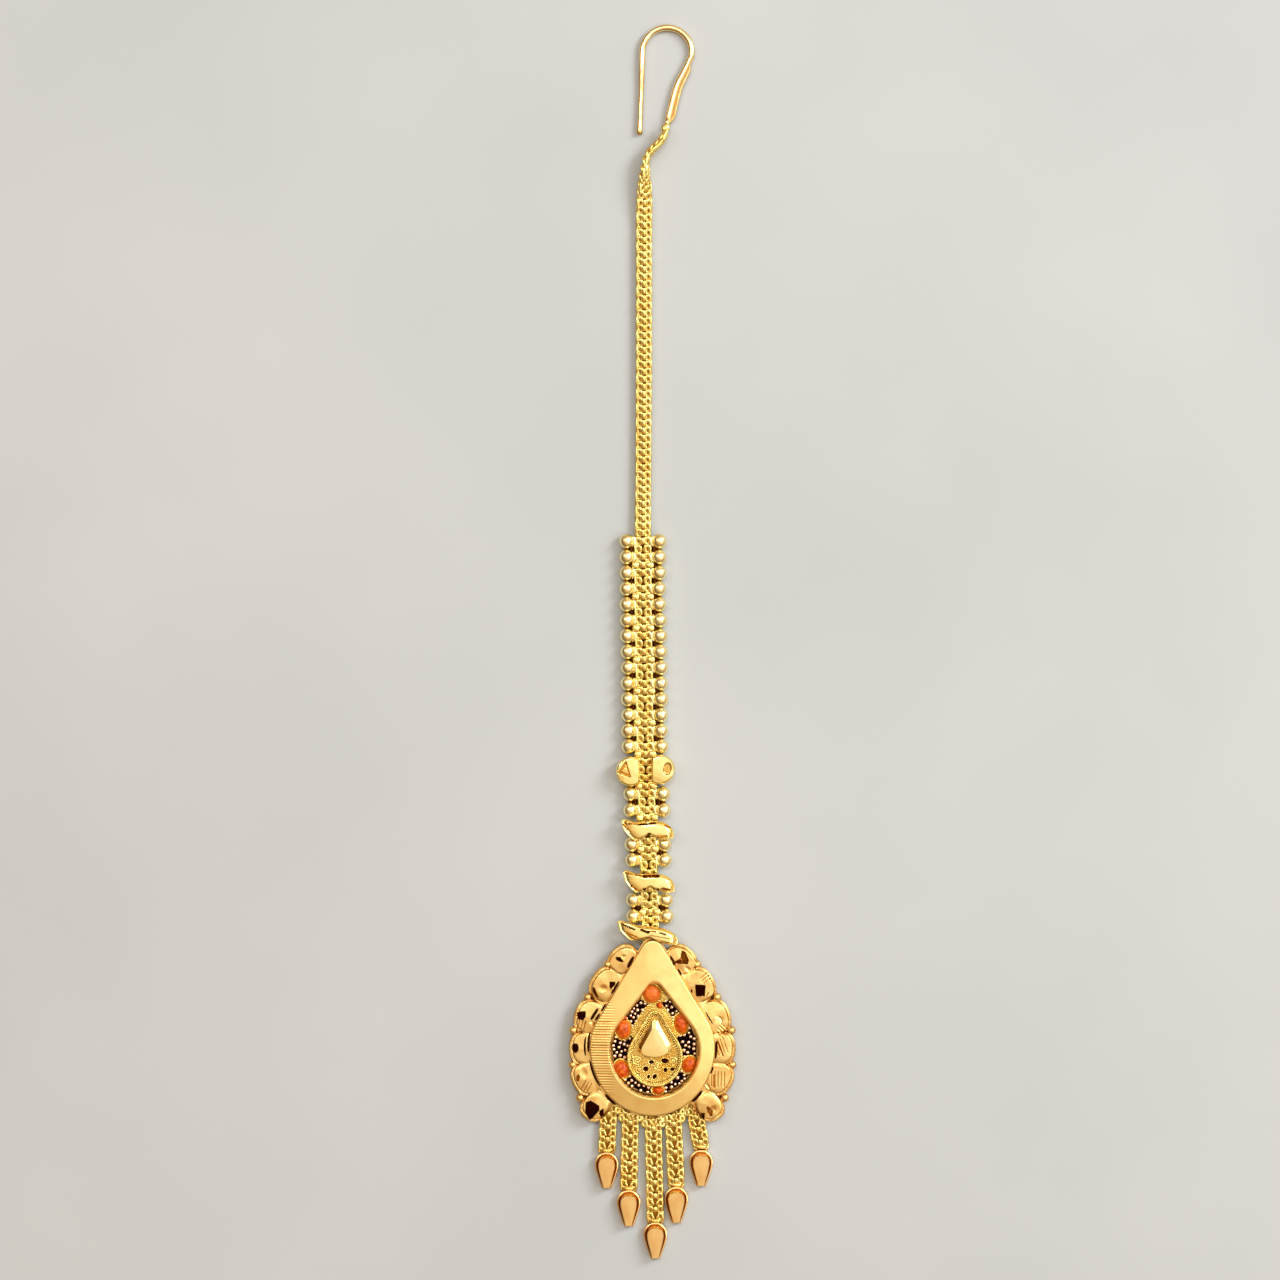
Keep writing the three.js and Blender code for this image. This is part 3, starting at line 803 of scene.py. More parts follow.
# %% [markdown]
# ## The hook
#
# The hook is one length of round wire, bent over a peg. Its free leg slides into the hair and has
# a plain cut end. The other leg comes down at a slant to the chain and is left a little thicker.
# A thin twisted wire is soldered along it, which stiffens it and gives the hair a grip. Both ends
# of the twisted wire run into the leg, so nothing can catch.

# %% Hook
HOOK_Z = 0.5
FREE_LEG = [(-1.65, 118.2), (-1.45, 123.4)]
BEND = arc(1.92, 128.6, 3.22, 3.22, 180, -8, 40)
BENT_LEG = [(4.2, 126.2), (3.3, 124.4), (2.7, 122.3), (2.2, 120.2), (1.85, 118.9)]
# The wire's radius at places along y, for each leg.
FREE_LEG_RADIUS = [(118.2, 0.4), (119.5, 0.34), (123.5, 0.33), (126.5, 0.42)]
BENT_LEG_RADIUS = [(118.9, 0.44), (121.0, 0.47), (124.5, 0.47), (127.0, 0.42)]
# The twisted wire: where it starts below the bend, and over what length its ends run in.
TWIST = {"strand": 0.14, "pitch": 0.5, "from": 0.5, "run_in": 1.6}
LEG_STEP = 0.04
# The free leg is painted a little darker, as painted shade where it mirrors less of the light,
# fading from one x or y to another.
FREE_LEG_SHADE = {"dark": 0.2, "x": (-1.2, -0.4), "y": (125, 128)}

hook_line = smooth_curve(np.vstack([FREE_LEG, BEND, BENT_LEG]), 0.25)
hook_y = hook_line[:, 1]
on_left = hook_line[:, 0] < BEND[:, 0].mean()
radius = np.where(on_left, np.interp(hook_y, *zip(*FREE_LEG_RADIUS)),
                  np.interp(hook_y, *zip(*BENT_LEG_RADIUS)))
hook = wire(flat_path(hook_line, HOOK_Z), radius, sides=16)
on_free_leg = 1 - ease(hook.points[:, 0], *FREE_LEG_SHADE["x"])
on_free_leg *= 1 - ease(hook.points[:, 1], *FREE_LEG_SHADE["y"])
hook.dark = FREE_LEG_SHADE["dark"] * on_free_leg

leg_line = flat_path(smooth_curve(np.vstack([BEND[-1:], BENT_LEG]), LEG_STEP), HOOK_Z)
leg_line = leg_line[round(TWIST["from"] / LEG_STEP):]
side, _, _ = path_axes(leg_line)
along = np.arange(len(leg_line)) * LEG_STEP
aside = ease(along, 0, TWIST["run_in"]) * (1 - ease(along, along[-1] - TWIST["run_in"], along[-1]))
aside *= np.interp(leg_line[:, 1], *zip(*BENT_LEG_RADIUS)) + 0.8 * TWIST["strand"]
twisted = rope(leg_line - side * aside[:, None], TWIST["strand"], TWIST["pitch"])
make_piece("hook_wire", [hook, *twisted], drawn_gold, "hook_wire", "hook")
print("the hook's wire is", distances(hook_line)[-1].round(1), "mm long")

# %% [markdown]
# ## The double chain
#
# A flat chain like this is two columns of oval links, set side by side and slanted like roof
# tiles, so that each link covers the foot of the next. A second layer underneath slants the other
# way. From above it shows two scalloped rails with a row of small openings inside each, dark with
# the painted shade of a strip inside the chain. One link is made once, and copies of it are set in
# place at every step of the chain's line.

# %% One link and one row of links
# A rolled wire's section: its height by its width, and a power under 1 that fills its corners.
ROLLED = {"flat": 0.6, "square": 0.8}
LINK_STEPS = 16


def oval_link(wide, long, radius):
    """A closed oval of rolled wire lying in the x-y plane."""
    section = circle(radius, 8) * np.array([1, ROLLED["flat"]])
    section = np.sign(section) * np.abs(section / radius) ** ROLLED["square"] * radius
    line = oval(wide / 2 - radius, long / 2 - radius, LINK_STEPS)
    return sweep(flat_path(line, 0), section, closed=True)


def link_row(size):
    """The links of one step, as a front layer and a back layer about the chain's middle."""
    link = oval_link(size["wide"], size["long"], size["wire"])
    lean = math.radians(size["tilt"])
    rise = size["thick"] / 2 - size["wire"] - (size["long"] / 2 - size["wire"]) * math.sin(lean)
    layers = []
    for face in (1, -1):
        links = []
        for hand in (-1, 1):
            leaning = link.turned("Y", hand * face * size["roll"]).turned("X", -face * size["tilt"])
            links.append(leaning.moved(x=hand * size["apart"], z=face * rise))
        layers.append(joined(links))
    return layers


print("one link has", len(oval_link(1, 1.4, 0.2).faces), "faces")

# %% [markdown]
# Short bits of wire are melted in between: bridges across the middle, and longer rails along the
# sides at every second pair. A stretched ball gives such a lump. A dark strip fills the inside,
# where the inner halves of the links meet: its darkness is painted shade between the two layers.

# %% Bridges, rails and core
# The core's points across, as shares of its half width. Those within "middle" get the most painted
# shade.
CORE_ACROSS = [1, 0.35, 0.2, -0.2, -0.35, -1]
CORE = {"half_thick": 0.12, "every": 8, "middle": 0.3, "dark_middle": 0.95, "dark_sides": 0.7}


def nugget(half_sizes, x, top, tilt=0.0, turn=0.0):
    """A bit of wire melted to a smooth lump, with its top at a height."""
    lump = ball(0, 0, 0, 1.0, around=12, rings=8)
    lump.points = lump.points * np.array(half_sizes)
    return lump.turned("X", -tilt).turned("Z", turn).moved(x=x, z=top - half_sizes[2])


def lumps_between(size):
    """The lumps soldered between the links, each with the row that it belongs to.

    size["lumps"] has the rows, the half sizes, how far out a lump lies to both sides (0 for one in
    the middle), how far its top stays below the links' tops, and its tilt and turn in degrees."""
    made = []
    for rows, half_sizes, out, below, tilt, turn in size["lumps"]:
        hands = (-1, 1) if out else (0,)
        lumps = [nugget(half_sizes, hand * out, size["thick"] / 2 - below, tilt, hand * turn)
                 for hand in hands]
        made += [(row, joined(lumps)) for row in rows]
    return made


def chain_axes(line, turn_at=None):
    """path_axes of a line, turned about it by turn_at, in degrees for a y."""
    side, ahead, lift = path_axes(line)
    if turn_at is not None:
        turn = np.radians([turn_at(y) for y in line[:, 1]])[:, None]
        side, lift = (side * np.cos(turn) + lift * np.sin(turn),
                      lift * np.cos(turn) - side * np.sin(turn))
    return side, ahead, lift


def painted_shade_core(line, half_wide, turn_at=None):
    """A dark strip inside a chain along a fine line, painted dark as the shade between its layers."""
    line = line[::CORE["every"]]
    _, _, lift = chain_axes(line, turn_at)
    across = np.array(CORE_ACROSS) * half_wide
    upper = np.column_stack([across, np.full(len(across), CORE["half_thick"])])
    section = np.vstack([upper, -upper])
    strip = sweep(line, section, up=lift)
    middle = np.abs(section[:, 0]) < CORE["middle"] * half_wide
    strip.dark = np.tile(np.where(middle, CORE["dark_middle"], CORE["dark_sides"]), len(line))
    return strip


print("one lump has", len(nugget((1, 1, 1), 0, 0).faces), "faces")

# %% [markdown]
# Now the rows can be laid. The chain's line is very fine, so the point nearest to each place gives
# the row's position and its three directions. Each row also swings a few degrees to one side,
# because no chain is soldered quite evenly.

# %% Laying rows along a line


def placer(line, turn_at=None):
    """Makes a function that sets a shell at a distance along a fine line, unless it ends before."""
    side, ahead, lift = chain_axes(line, turn_at)
    along = distances(line)

    def put(shell, distance):
        at = int(np.searchsorted(along, distance))
        return [shell.set_in(line[at], [side[at], ahead[at], lift[at]])] if at < len(line) else []

    return put


def lay_links(line, places, size, seed, turn_at=None):
    """Sets a row of links, with its lumps, at each place along a fine line.

    The lumps' rows repeat after size["every"] places. turn_at gives the chain's turn about its own
    line, in degrees for a y."""
    put = placer(line, turn_at)
    front, back = link_row(size)
    lumps = lumps_between(size)
    chance = random.Random(seed)
    half_step = (places[1] - places[0]) / 2
    shells = []
    for i, place in enumerate(places):
        sway = chance.uniform(-size["jitter"], size["jitter"])
        shells += put(front.turned("Z", sway), place)
        shells += put(back.turned("Z", sway), place + half_step)
        for row, lump in lumps:
            if row == i % size["every"]:
                shells += put(lump, place)
    return shells


print("rows are laid front and back, half a step apart")

# %% [markdown]
# The line itself runs from the hook to the pendant through marked points. At the hook the chain
# stands on its edge, and it twists flat over nine millimetres, so the height of its middle above
# the table changes with its turn.

# %% The chain's line
CHAIN = {"wide": 2.1, "thick": 1.1, "edge_above": 115.6, "flat_below": 106.4}
# From the hook to the pendant: x, y and the height of the chain's underside.
CHAIN_ROUTE = [
    (1.75, 118.6, 0.1), (1.38, 117.4, 0.1), (0.72, 116.5, 0.1), (-0.1, 115.7, 0.1),
    (-0.72, 114.7, 0.1), (-0.95, 113.3, 0.1), (-1.05, 110.4, 0.1), (-1.08, 106, 0.1),
    (-1.1, 87, 0.08), (-1.2, 70, 0.1), (-1.24, 64, 0.35), (-1.2, 56, 0.35), (-1.05, 46.8, 0.35),
    (-0.98, 40, 0.35), (-0.77, 32, 0.35), (-0.56, 25.4, 0.35), (-0.38, 18.2, 0.35),
    (-0.2, 12.9, 0.35),
]
# The distance between the points of a fine line.
FINE = 0.05


def chain_turn(y):
    """How far the chain is turned about its own line, in degrees: 0 lies flat."""
    return 90 * float(ease(np.array(y), CHAIN["flat_below"], CHAIN["edge_above"]))


def half_height(y):
    """Half the height that the chain takes up where it is turned so far."""
    turn = math.radians(chain_turn(y))
    return math.hypot(CHAIN["thick"] * math.cos(turn), CHAIN["wide"] * math.sin(turn)) / 2


chain_line = smooth_curve([(x, y, under + half_height(y)) for x, y, under in CHAIN_ROUTE], FINE)


def chain_x(y):
    """The x of the chain's line at a given y."""
    return float(np.interp(-y, -chain_line[:, 1], chain_line[:, 0]))


print("the chain's line is", distances(chain_line)[-1].round(1), "mm long")

# %% [markdown]
# Above the beads the links follow each other every 0.95 mm. Along the beads there are exactly two
# links to a bead, so that every second link can carry a bead on each side. One row in four, which
# lies between two beads, is left without its bridge and shows an opening in the middle, dark with
# the painted shade of the strip inside. At the hook, where the chain stands on its edge, flat
# lozenges of solder close the links' sides.

# %% Chain
# Each link's width, length and wire, how far it is from the middle, and its tilt and roll in
# degrees. Then the chain's thickness, how far its rows swing, and the lumps between them.
LINK = {"wide": 1.1, "long": 1.4, "wire": 0.255, "apart": 0.53, "tilt": 14, "roll": 5,
        "thick": CHAIN["thick"], "jitter": 3.0, "every": 2,
        "lumps": [((0, 1), (0.3, 0.5, 0.17), 0, 0.03, 14, 0),
                  ((0,), (0.17, 0.98, 0.24), 0.9, 0.12, 0, 0)]}
# Along the beads, the third kind of lump stands where the beads' ties are melted on.
WIDE_LINK = {"wide": 1.18, "long": 1.44, "wire": 0.268, "apart": 0.6, "tilt": 14, "roll": 5,
             "thick": CHAIN["thick"], "jitter": 3.0, "every": 4,
             "lumps": [((0, 2, 3), (0.38, 0.52, 0.17), 0, 0.03, 14, 0),
                       ((1,), (0.2, 0.98, 0.26), 0.98, 0.12, 0, 0),
                       ((3,), (0.52, 0.5, 0.2), 0.95, -0.02, 0, 0)]}
PLAIN_PITCH = 0.955
BEAD_PITCH = 2.054
BEADS_FROM_Y = 64.87 + BEAD_PITCH / 2
END_ROOM = 0.55
# The core leaves out a few points at each end of the chain's line.
CHAIN_CORE = {"half_wide": 0.7, "points": slice(8, -8)}
LOZENGE = {"half_sizes": (0.56, 0.72, 0.3), "x": 0, "top": 0.8}
LOZENGE_PLACES = np.arange(0.1, 6.2, 1.2)

along_chain = distances(chain_line)
beads_start = float(np.interp(-BEADS_FROM_Y, -chain_line[:, 1], along_chain))
plain_places = np.arange(beads_start, END_ROOM, -PLAIN_PITCH)[::-1]
beaded_places = np.arange(beads_start, along_chain[-1] - END_ROOM, BEAD_PITCH / 2)[1:]
chain_shells = lay_links(chain_line, plain_places, LINK, 1, chain_turn)
chain_shells += lay_links(chain_line, beaded_places, WIDE_LINK, 2, chain_turn)
# The strip inside the chain carries painted shade between the two layers of links.
chain_shells.append(painted_shade_core(chain_line[CHAIN_CORE["points"]], CHAIN_CORE["half_wide"], chain_turn))
put_flat = placer(chain_line)
for place in LOZENGE_PLACES:
    chain_shells += put_flat(nugget(**LOZENGE), place)
make_piece("double_chain", chain_shells, link_gold, "chain_gold", "chain")
print(len(plain_places), "plain rows and", len(beaded_places), "rows that carry beads")

# %% [markdown]
# ## Beads
#
# The beads are hollow, pressed as two halves and soldered, a little longer than wide, and threaded
# on a wire that keeps each column straight. A flat oval link ties each bead to the chain. The
# links of the chain are wider here than above, so that they reach the ties.

# %% Bead columns
BEAD = {"radius": 0.95, "stretch": 1.07, "from_chain": 2.14}
# How much the beads differ: millimetres aside, share of their size, and degrees of turn.
BEAD_CHANCE = {"aside": 0.04, "size": (0.98, 1.02), "turn": 8}
TIE = {"wide": 1.0, "long": 1.5, "radius": 0.27}
TIE_AT = {"from_chain": 1.3, "z": 1.05, "tilt": 14}
# Two threads, from the middle of the beads outwards and up: one inside the column, and one that
# closes the gap to the chain. Both are painted dark, as painted shadow between the beads and the chain.
SHADOW_THREADS = [{"out": 0.0, "rise": -0.2, "radius": 0.3, "dark": 0.85},
           {"out": -0.62, "rise": -0.3, "radius": 0.4, "dark": 0.95}]
BEAD_GROUPS = [
    {"name": "upper", "first_y": 64.87, "rows": 14, "pitch": 2.054},
    {"name": "second", "first_y": 32.02, "rows": 2, "pitch": 2.15},
    {"name": "third", "first_y": 25.44, "rows": 2, "pitch": 2.05},
    {"name": "lower", "first_y": 18.2, "rows": 2, "pitch": 2.15},
]


def bead_column(group, hand, chance):
    """One side's beads of a group, with their ties and threads. hand is -1 on the left."""
    tie = oval_link(**TIE).turned("Y", hand * TIE_AT["tilt"])
    shells, centres = [], []
    for row in range(group["rows"]):
        y = group["first_y"] - row * group["pitch"]
        aside = chance.uniform(-BEAD_CHANCE["aside"], BEAD_CHANCE["aside"])
        x = chain_x(y) + hand * (BEAD["from_chain"] + aside)
        centres.append((x, y, BEAD["radius"]))
        bead = ball(0, 0, 0, BEAD["radius"] * chance.uniform(*BEAD_CHANCE["size"]), 28, 18)
        bead.points[:, 1] *= BEAD["stretch"]
        turn = chance.uniform(-BEAD_CHANCE["turn"], BEAD_CHANCE["turn"])
        shells.append(bead.turned("Z", turn).moved(x, y, BEAD["radius"]))
        shells.append(tie.moved(chain_x(y) + hand * TIE_AT["from_chain"], y, TIE_AT["z"]))
    for strand in SHADOW_THREADS:
        path = np.array(centres) + np.array([hand * strand["out"], 0, strand["rise"]])
        thread = wire(path, strand["radius"], sides=8)
        # Painted shadow: the thread's darkness stands for the shade in the gap.
        thread.dark[:] = strand["dark"]
        shells.append(thread)
    return shells


chance = random.Random(7)
for group in BEAD_GROUPS:
    for hand, word in ((-1, "left"), (1, "right")):
        name = f"{group['name']}_{word}"
        shells = bead_column(group, hand, chance)
        make_piece(f"bead_column_{name}", shells, polished_gold, "bead_gold", f"beads_{name}")
print(2 * sum(group["rows"] for group in BEAD_GROUPS), "beads")

# %% [markdown]
# ## The faceted pair
#
# Two larger beads sit against the chain below the long bead columns. They are turned like coins,
# with a rounded edge and a broad top that a file has trued, and a diamond-tipped cutter has then
# cut a three-cornered facet into the left one and an oval dish into the right one.

# %% Faceted beads
FACETED = {"radius": 1.95, "height": 2.4, "points": 110, "y": 35, "into_chain": 0.1}
# The bead's profile from its foot to its top: share of its radius, and height from its middle.
STONE_PROFILE = [(0.4, -1.2), (0.8, -1.08), (0.94, -0.7), (1.0, -0.2), (1.0, 0.4), (0.992, 0.68),
                 (0.97, 0.88), (0.935, 1.02), (0.89, 1.1), (0.84, 1.14)]
STONE_TOP = [(share, 1.2 - 0.05 * (share / 0.84) ** 2) for share in np.linspace(0.81, 0.02, 52)]
# The flats filed on each bead: depth, the azimuth it faces and its lean.
FLATS = {"left": [(0.05, 40, 4), (0.05, 250, 9)], "right": [(0.05, 60, 3), (0.05, 200, 8)]}
# Each bead's y, and how far its middle is from the chain's line.
STONE_PLACES = {"left": (34.95, -1.95), "right": (35.2, 1.85)}
# The left bead's facet: a triangle painted dark as shade, and a smaller one that stands up in it
# again with less of that painted shade. The right bead has a dish.
TRIANGLE = [(-0.6, 1.55), (-1.75, -0.25), (0.12, -0.85)]
SMALLER = [(-0.62, 0.95), (-1.3, -0.1), (-0.12, -0.48)]
DISH = {"x": 0.95, "y": 0.1, "across": 0.6, "along": 0.92, "turn": -8}


def filed_bead(flats):
    """A turned bead with flats on it."""
    unit = circle(FACETED["radius"], FACETED["points"])
    stone = loft([flat_path(unit * share, z) for share, z in STONE_PROFILE + STONE_TOP])
    for depth, azimuth, lean in flats:
        press_flat(stone, depth, azimuth, lean)
    return stone


stones = {word: filed_bead(flats) for word, flats in FLATS.items()}
left_stone, right_stone = stones["left"], stones["right"]
# The facet and the dish are painted darker, as shade in the cuts.
sink(left_stone, in_polygon(left_stone.points, TRIANGLE, wall=0.16), 0.16, dark=0.5, above=0)
in_smaller = in_polygon(left_stone.points, SMALLER, wall=0.14)
sink(left_stone, in_smaller, -0.1, dark=0, above=0)
left_stone.dark *= 1 - 0.6 * in_smaller
sink(right_stone, in_oval(right_stone.points, **DISH, wall=0.35), 0.14, dark=0.35, above=0)
for hand, word in ((-1, "left"), (1, "right")):
    y, from_chain = STONE_PLACES[word]
    stone = stones[word].moved(chain_x(y) + from_chain, y, FACETED["height"] / 2)
    # The side that faces the chain is cut flat.
    reach = chain_x(FACETED["y"]) + hand * (CHAIN["wide"] / 2 - FACETED["into_chain"])
    clip = np.maximum if hand > 0 else np.minimum
    stone.points[:, 0] = clip(stone.points[:, 0], reach)
    make_piece(f"faceted_ball_{word}", [stone], cut_gold, "faceted_gold", f"faceted_bead_{word}",
               smooth_below=30)

# %% [markdown]
# ## Cross bars
#
# Each bar is a leaf cast in one piece: a swept tip on the left, a square end on the right, and a
# waist that bridges the chain. The caster cut slots beside the waist and folds into the ends. They
# are listed as grooves from one point to another, with a half width, a depth and how much painted
# shade they hold.

# %% Cross bars
BAR = {"bottom": 1.65, "top": 2.75}
BAR_LEAN = 1.5
BAR_UPPER = [(-3.4, 1.1), (-3.05, 1.42), (-1.2, 0.98), (1.1, 1.02), (2.2, 0.8), (3.1, 0.15),
             (3.45, -0.6)]
BAR_LOWER = [(3.4, -1.3), (2.4, -1.4), (1.45, -1.25), (0.3, -0.78), (-1.0, -1.33), (-1.7, -1.42),
             (-2.45, -0.82), (-3.1, -0.05)]
CROSS_BARS = [
    {"name": "upper", "x": -0.65, "y": 27.5, "long": 1, "deep": 1, "turn": 2, "grooves": [
        ((-0.86, 0.62), (1.0, 0.74), 0.13, 0.4, 0.75), ((-2.85, 0.86), (-0.86, 0.62), 0.12, 0.25, 0.6),
        ((0.2, -0.75), (0.2, -0.85), 0.3, 0.6, 1.0), ((-3.05, 0.7), (-2.3, -0.35), 0.1, 0.15, 0.4),
        ((2.2, 0.45), (2.9, 0.15), 0.1, 0.15, 0.35), ((1.3, -1.0), (2.5, -0.95), 0.1, 0.15, 0.4)]},
    {"name": "middle", "x": -0.48, "y": 20.7, "long": 1, "deep": 1, "turn": -1, "grooves": [
        ((-0.6, 0.66), (1.2, 0.74), 0.2, 0.4, 0.8), ((-3.05, 1.05), (-0.7, 0.7), 0.11, 0.2, 0.45),
        ((-0.6, -0.98), (1.2, -0.98), 0.18, 0.4, 0.85), ((-2.6, 0.0), (-2.2, -0.6), 0.12, 0.15, 0.6),
        ((-2.2, -0.6), (-1.5, -1.05), 0.12, 0.2, 0.6), ((1.8, -0.85), (2.6, -1.0), 0.17, 0.25, 0.7)]},
    {"name": "lower", "x": -0.65, "y": 14.05, "long": 1.2, "deep": 0.85, "turn": -7, "grooves": [
        ((-0.6, 0.35), (0.05, 0.12), 0.2, 0.5, 0.9), ((-2.7, 0.8), (-1.5, 0.3), 0.14, 0.35, 0.9),
        ((0.1, 0.3), (0.8, 0.35), 0.12, 0.2, 0.6), ((1.4, 0.25), (1.9, 0.1), 0.12, 0.25, 0.7),
        ((-2.2, -0.4), (-1.0, -0.9), 0.12, 0.2, 0.45), ((0.4, -0.3), (2.4, -0.45), 0.08, 0.12, 0.3)]},
]
# The leaf's profile: share of its size and depth below the top. The first rows are its wall, then
# comes the lip round the edge, a shallow channel, and the rounded body.
LEAF_PROFILE = [(0.97, 1.1), (1.0, 0.98), (1.0, 0.55), (0.99, 0.42), (0.965, 0.34), (0.94, 0.34),
                (0.915, 0.38), (0.89, 0.4), (0.86, 0.3)]
LEAF_PROFILE += [(share, 0.24 * (share / 0.86) ** 5) for share in np.linspace(0.82, 0.02, 26)]


def cross_bar(row):
    """One leaf, cut and then set in its place."""
    upper, lower = smooth_curve(BAR_UPPER, 0.1), smooth_curve(BAR_LOWER, 0.1)
    outline = evenly(np.vstack([upper, lower]), spacing=0.06, closed=True)[::-1]
    levels = [(share, BAR["top"] - below) for share, below in LEAF_PROFILE]
    leaf = pillow(outline, levels, centre=(0.1, -0.15))
    for start, stop, half_width, depth, dark in row["grooves"]:
        share = in_groove(leaf.points, start, stop, half_width, 0.5 * half_width)
        sink(leaf, share, depth, dark, above=BAR["bottom"] + 0.3)
    leaf.points[:, 0] *= row["long"]
    leaf.points[:, 1] *= row["deep"]
    leaf = leaf.moved(z=-BAR["top"]).turned("X", -BAR_LEAN).turned("Z", row["turn"])
    return leaf.moved(row["x"], row["y"], BAR["top"])


for row in CROSS_BARS:
    make_piece(f"leaf_bar_{row['name']}", [cross_bar(row)], cut_gold, "bar_gold",
               f"cross_bar_{row['name']}", smooth_below=45)
print(len(CROSS_BARS), "cross bars from one leaf")

# %% [markdown]
# ## The pendant's border
#
# The border is struck from sheet: six domed petals on each side with a small ball standing in
# each notch between them, over a plate that slopes up to the frame. Every petal has a raised lip.
# Flats were then filed on the domes, which catch the light as a facet does, and a cutter scooped
# out deep facets, whose dark reflection is painted into their colour.

# %% Where the pendant's outlines lie
FRAME_CENTRE = np.array([0.15, -1.0])
DIRECTIONS = 1200
around = np.linspace(-math.pi, math.pi, DIRECTIONS, endpoint=False)
outward = np.column_stack([np.cos(around), np.sin(around)])


def polar(points):
    """The angle and distance of points from the pendant's centre."""
    offset = np.asarray(points)[..., :2] - FRAME_CENTRE
    return np.arctan2(offset[..., 1], offset[..., 0]), np.hypot(offset[..., 0], offset[..., 1])


def reach_of(outline):
    """The distance from the pendant's centre to an outline, in each direction."""
    angle, distance = polar(outline)
    order = np.argsort(angle)
    return np.interp(around, angle[order], distance[order], period=TURN)


def polar_ring(radius, z):
    """A ring round the pendant's centre. Radius and height may differ between directions."""
    place = FRAME_CENTRE + outward * np.broadcast_to(radius, around.shape)[:, None]
    return np.column_stack([place, np.broadcast_to(z, around.shape)])


inner_reach = reach_of(pear("well", count=900))
outer_reach = reach_of(pear("frame", count=900))
print("the frame is", (outer_reach - inner_reach).min().round(2), "mm wide at its narrowest")

# %% [markdown]
# Each petal is an ellipse whose sides are a little squared, given by its middle, its size outwards
# and along the rim, and the way it faces. The left half mirrors the right one. Only the filed
# flats differ, because each petal's are placed at random.

# %% Petals
PETAL_TOP = 1.98
PETAL_FOOT = 1.58
# Where no petal reaches further, the border ends this far outside the frame.
RIM_SHOWS = 0.28
PETALS = [
    {"x": 3.75, "y": 10.5, "out": 3.6, "along": 4.3, "towards": 50},
    {"x": 6.0, "y": 7.2, "out": 4.2, "along": 4.8, "towards": 33},
    {"x": 8.15, "y": 3.0, "out": 4.1, "along": 4.7, "towards": 18},
    {"x": 8.85, "y": -1.06, "out": 4.0, "along": 4.5, "towards": -2},
    {"x": 8.55, "y": -4.9, "out": 4.0, "along": 4.5, "towards": -25},
    {"x": 7.4, "y": -8.5, "out": 4.3, "along": 3.5, "towards": -52},
]
SQUARENESS = 2.5
# A dome ends at this share of its petal. Its flats lean by so many degrees, and each starts so far
# from the dome's middle.
DOME_SHARE = 0.93
FLATS_PER_PETAL = 4
FLAT_LEAN = (1.5, 7)
FLAT_START = (-0.1, 0.35)


def petal_share(places, row, hand):
    """0 in the middle of a petal and 1 on its outline, for an array of places."""
    towards = row["towards"] if hand > 0 else 180 - row["towards"]
    u, v = from_middle(places, hand * row["x"], row["y"], towards)
    u, v = np.abs(u) / (row["out"] / 2), np.abs(v) / (row["along"] / 2)
    return (u**SQUARENESS + v**SQUARENESS) ** (1 / SQUARENESS)


def domed(places, row, hand, chance):
    """The height of one petal: a dome with flats filed on it, which lean in all directions."""
    share = np.clip(petal_share(places, row, hand) / DOME_SHARE, 0, 1)
    height = PETAL_FOOT + (PETAL_TOP - PETAL_FOOT) * np.sqrt(1 - share**4)
    first = chance.uniform(0, 360)
    for k in range(FLATS_PER_PETAL):
        turn = first + (k + chance.uniform(-0.3, 0.3)) * 360 / FLATS_PER_PETAL
        slope = math.tan(math.radians(chance.uniform(*FLAT_LEAN)))
        away, _ = from_middle(places, hand * row["x"], row["y"], turn)
        flat = PETAL_TOP + 0.02 - slope * (away + chance.uniform(*FLAT_START))
        height = np.minimum(height, flat)
    return np.where(share < 1, np.maximum(height, PETAL_FOOT - 0.1), 0)


petal_rows = [(row, hand) for hand in (-1, 1) for row in PETALS]
# The petals' outer ends are looked for at these distances from the pendant's centre.
search = np.arange(5.5, 14.8, 0.03)
places = FRAME_CENTRE + outward[:, None] * search[None, :, None]
covered = np.min([petal_share(places, row, hand) for row, hand in petal_rows], axis=0) < 1
petal_reach = np.where(covered, search, 0).max(1)
border_reach = np.maximum(petal_reach, outer_reach + RIM_SHOWS)
print("the border reaches", border_reach.max().round(2), "mm from the pendant's centre")

# %% [markdown]
# The whole border is one relief, so it's made as one skin over a polar grid: for each direction
# from the pendant's centre, a row of points runs from under the frame out to the edge of the
# petals. Its height is the highest petal there, or the rim plate that rises towards the frame.
# Along the edge runs the raised lip, with a groove inside it.

# %% The relief of the border
RELIEF_RINGS = 66
# The relief starts this far under the frame, and ends this far inside the edge.
INSIDE_FRAME, INSIDE_EDGE = 0.12, 0.04
# Solder rounds the line where a petal meets the plate, over this much height.
SOLDER = 0.42
LIP = {"wide": 0.38, "z": 1.76, "slope": 0.7, "crest": 0.45}
# The groove inside the lip: its place in lip widths, half its width, its depth and how much
# painted shade it holds.
LIP_GROOVE = {"at": 1.2, "half_width": 0.09, "depth": 0.1, "dark": 0.12}
RIM_PLATE = {"near": 1.8, "far": 1.48, "wide": 1.6}
# Under the frame and down the outer edge: millimetres further out, and height.
FOOT_RINGS = [(-0.6, 0.9), (-0.4, 1.5)]
EDGE_RINGS = [(0.0, 1.5), (-0.02, 1.35), (-0.02, 0.5), (-0.2, 0.25)]

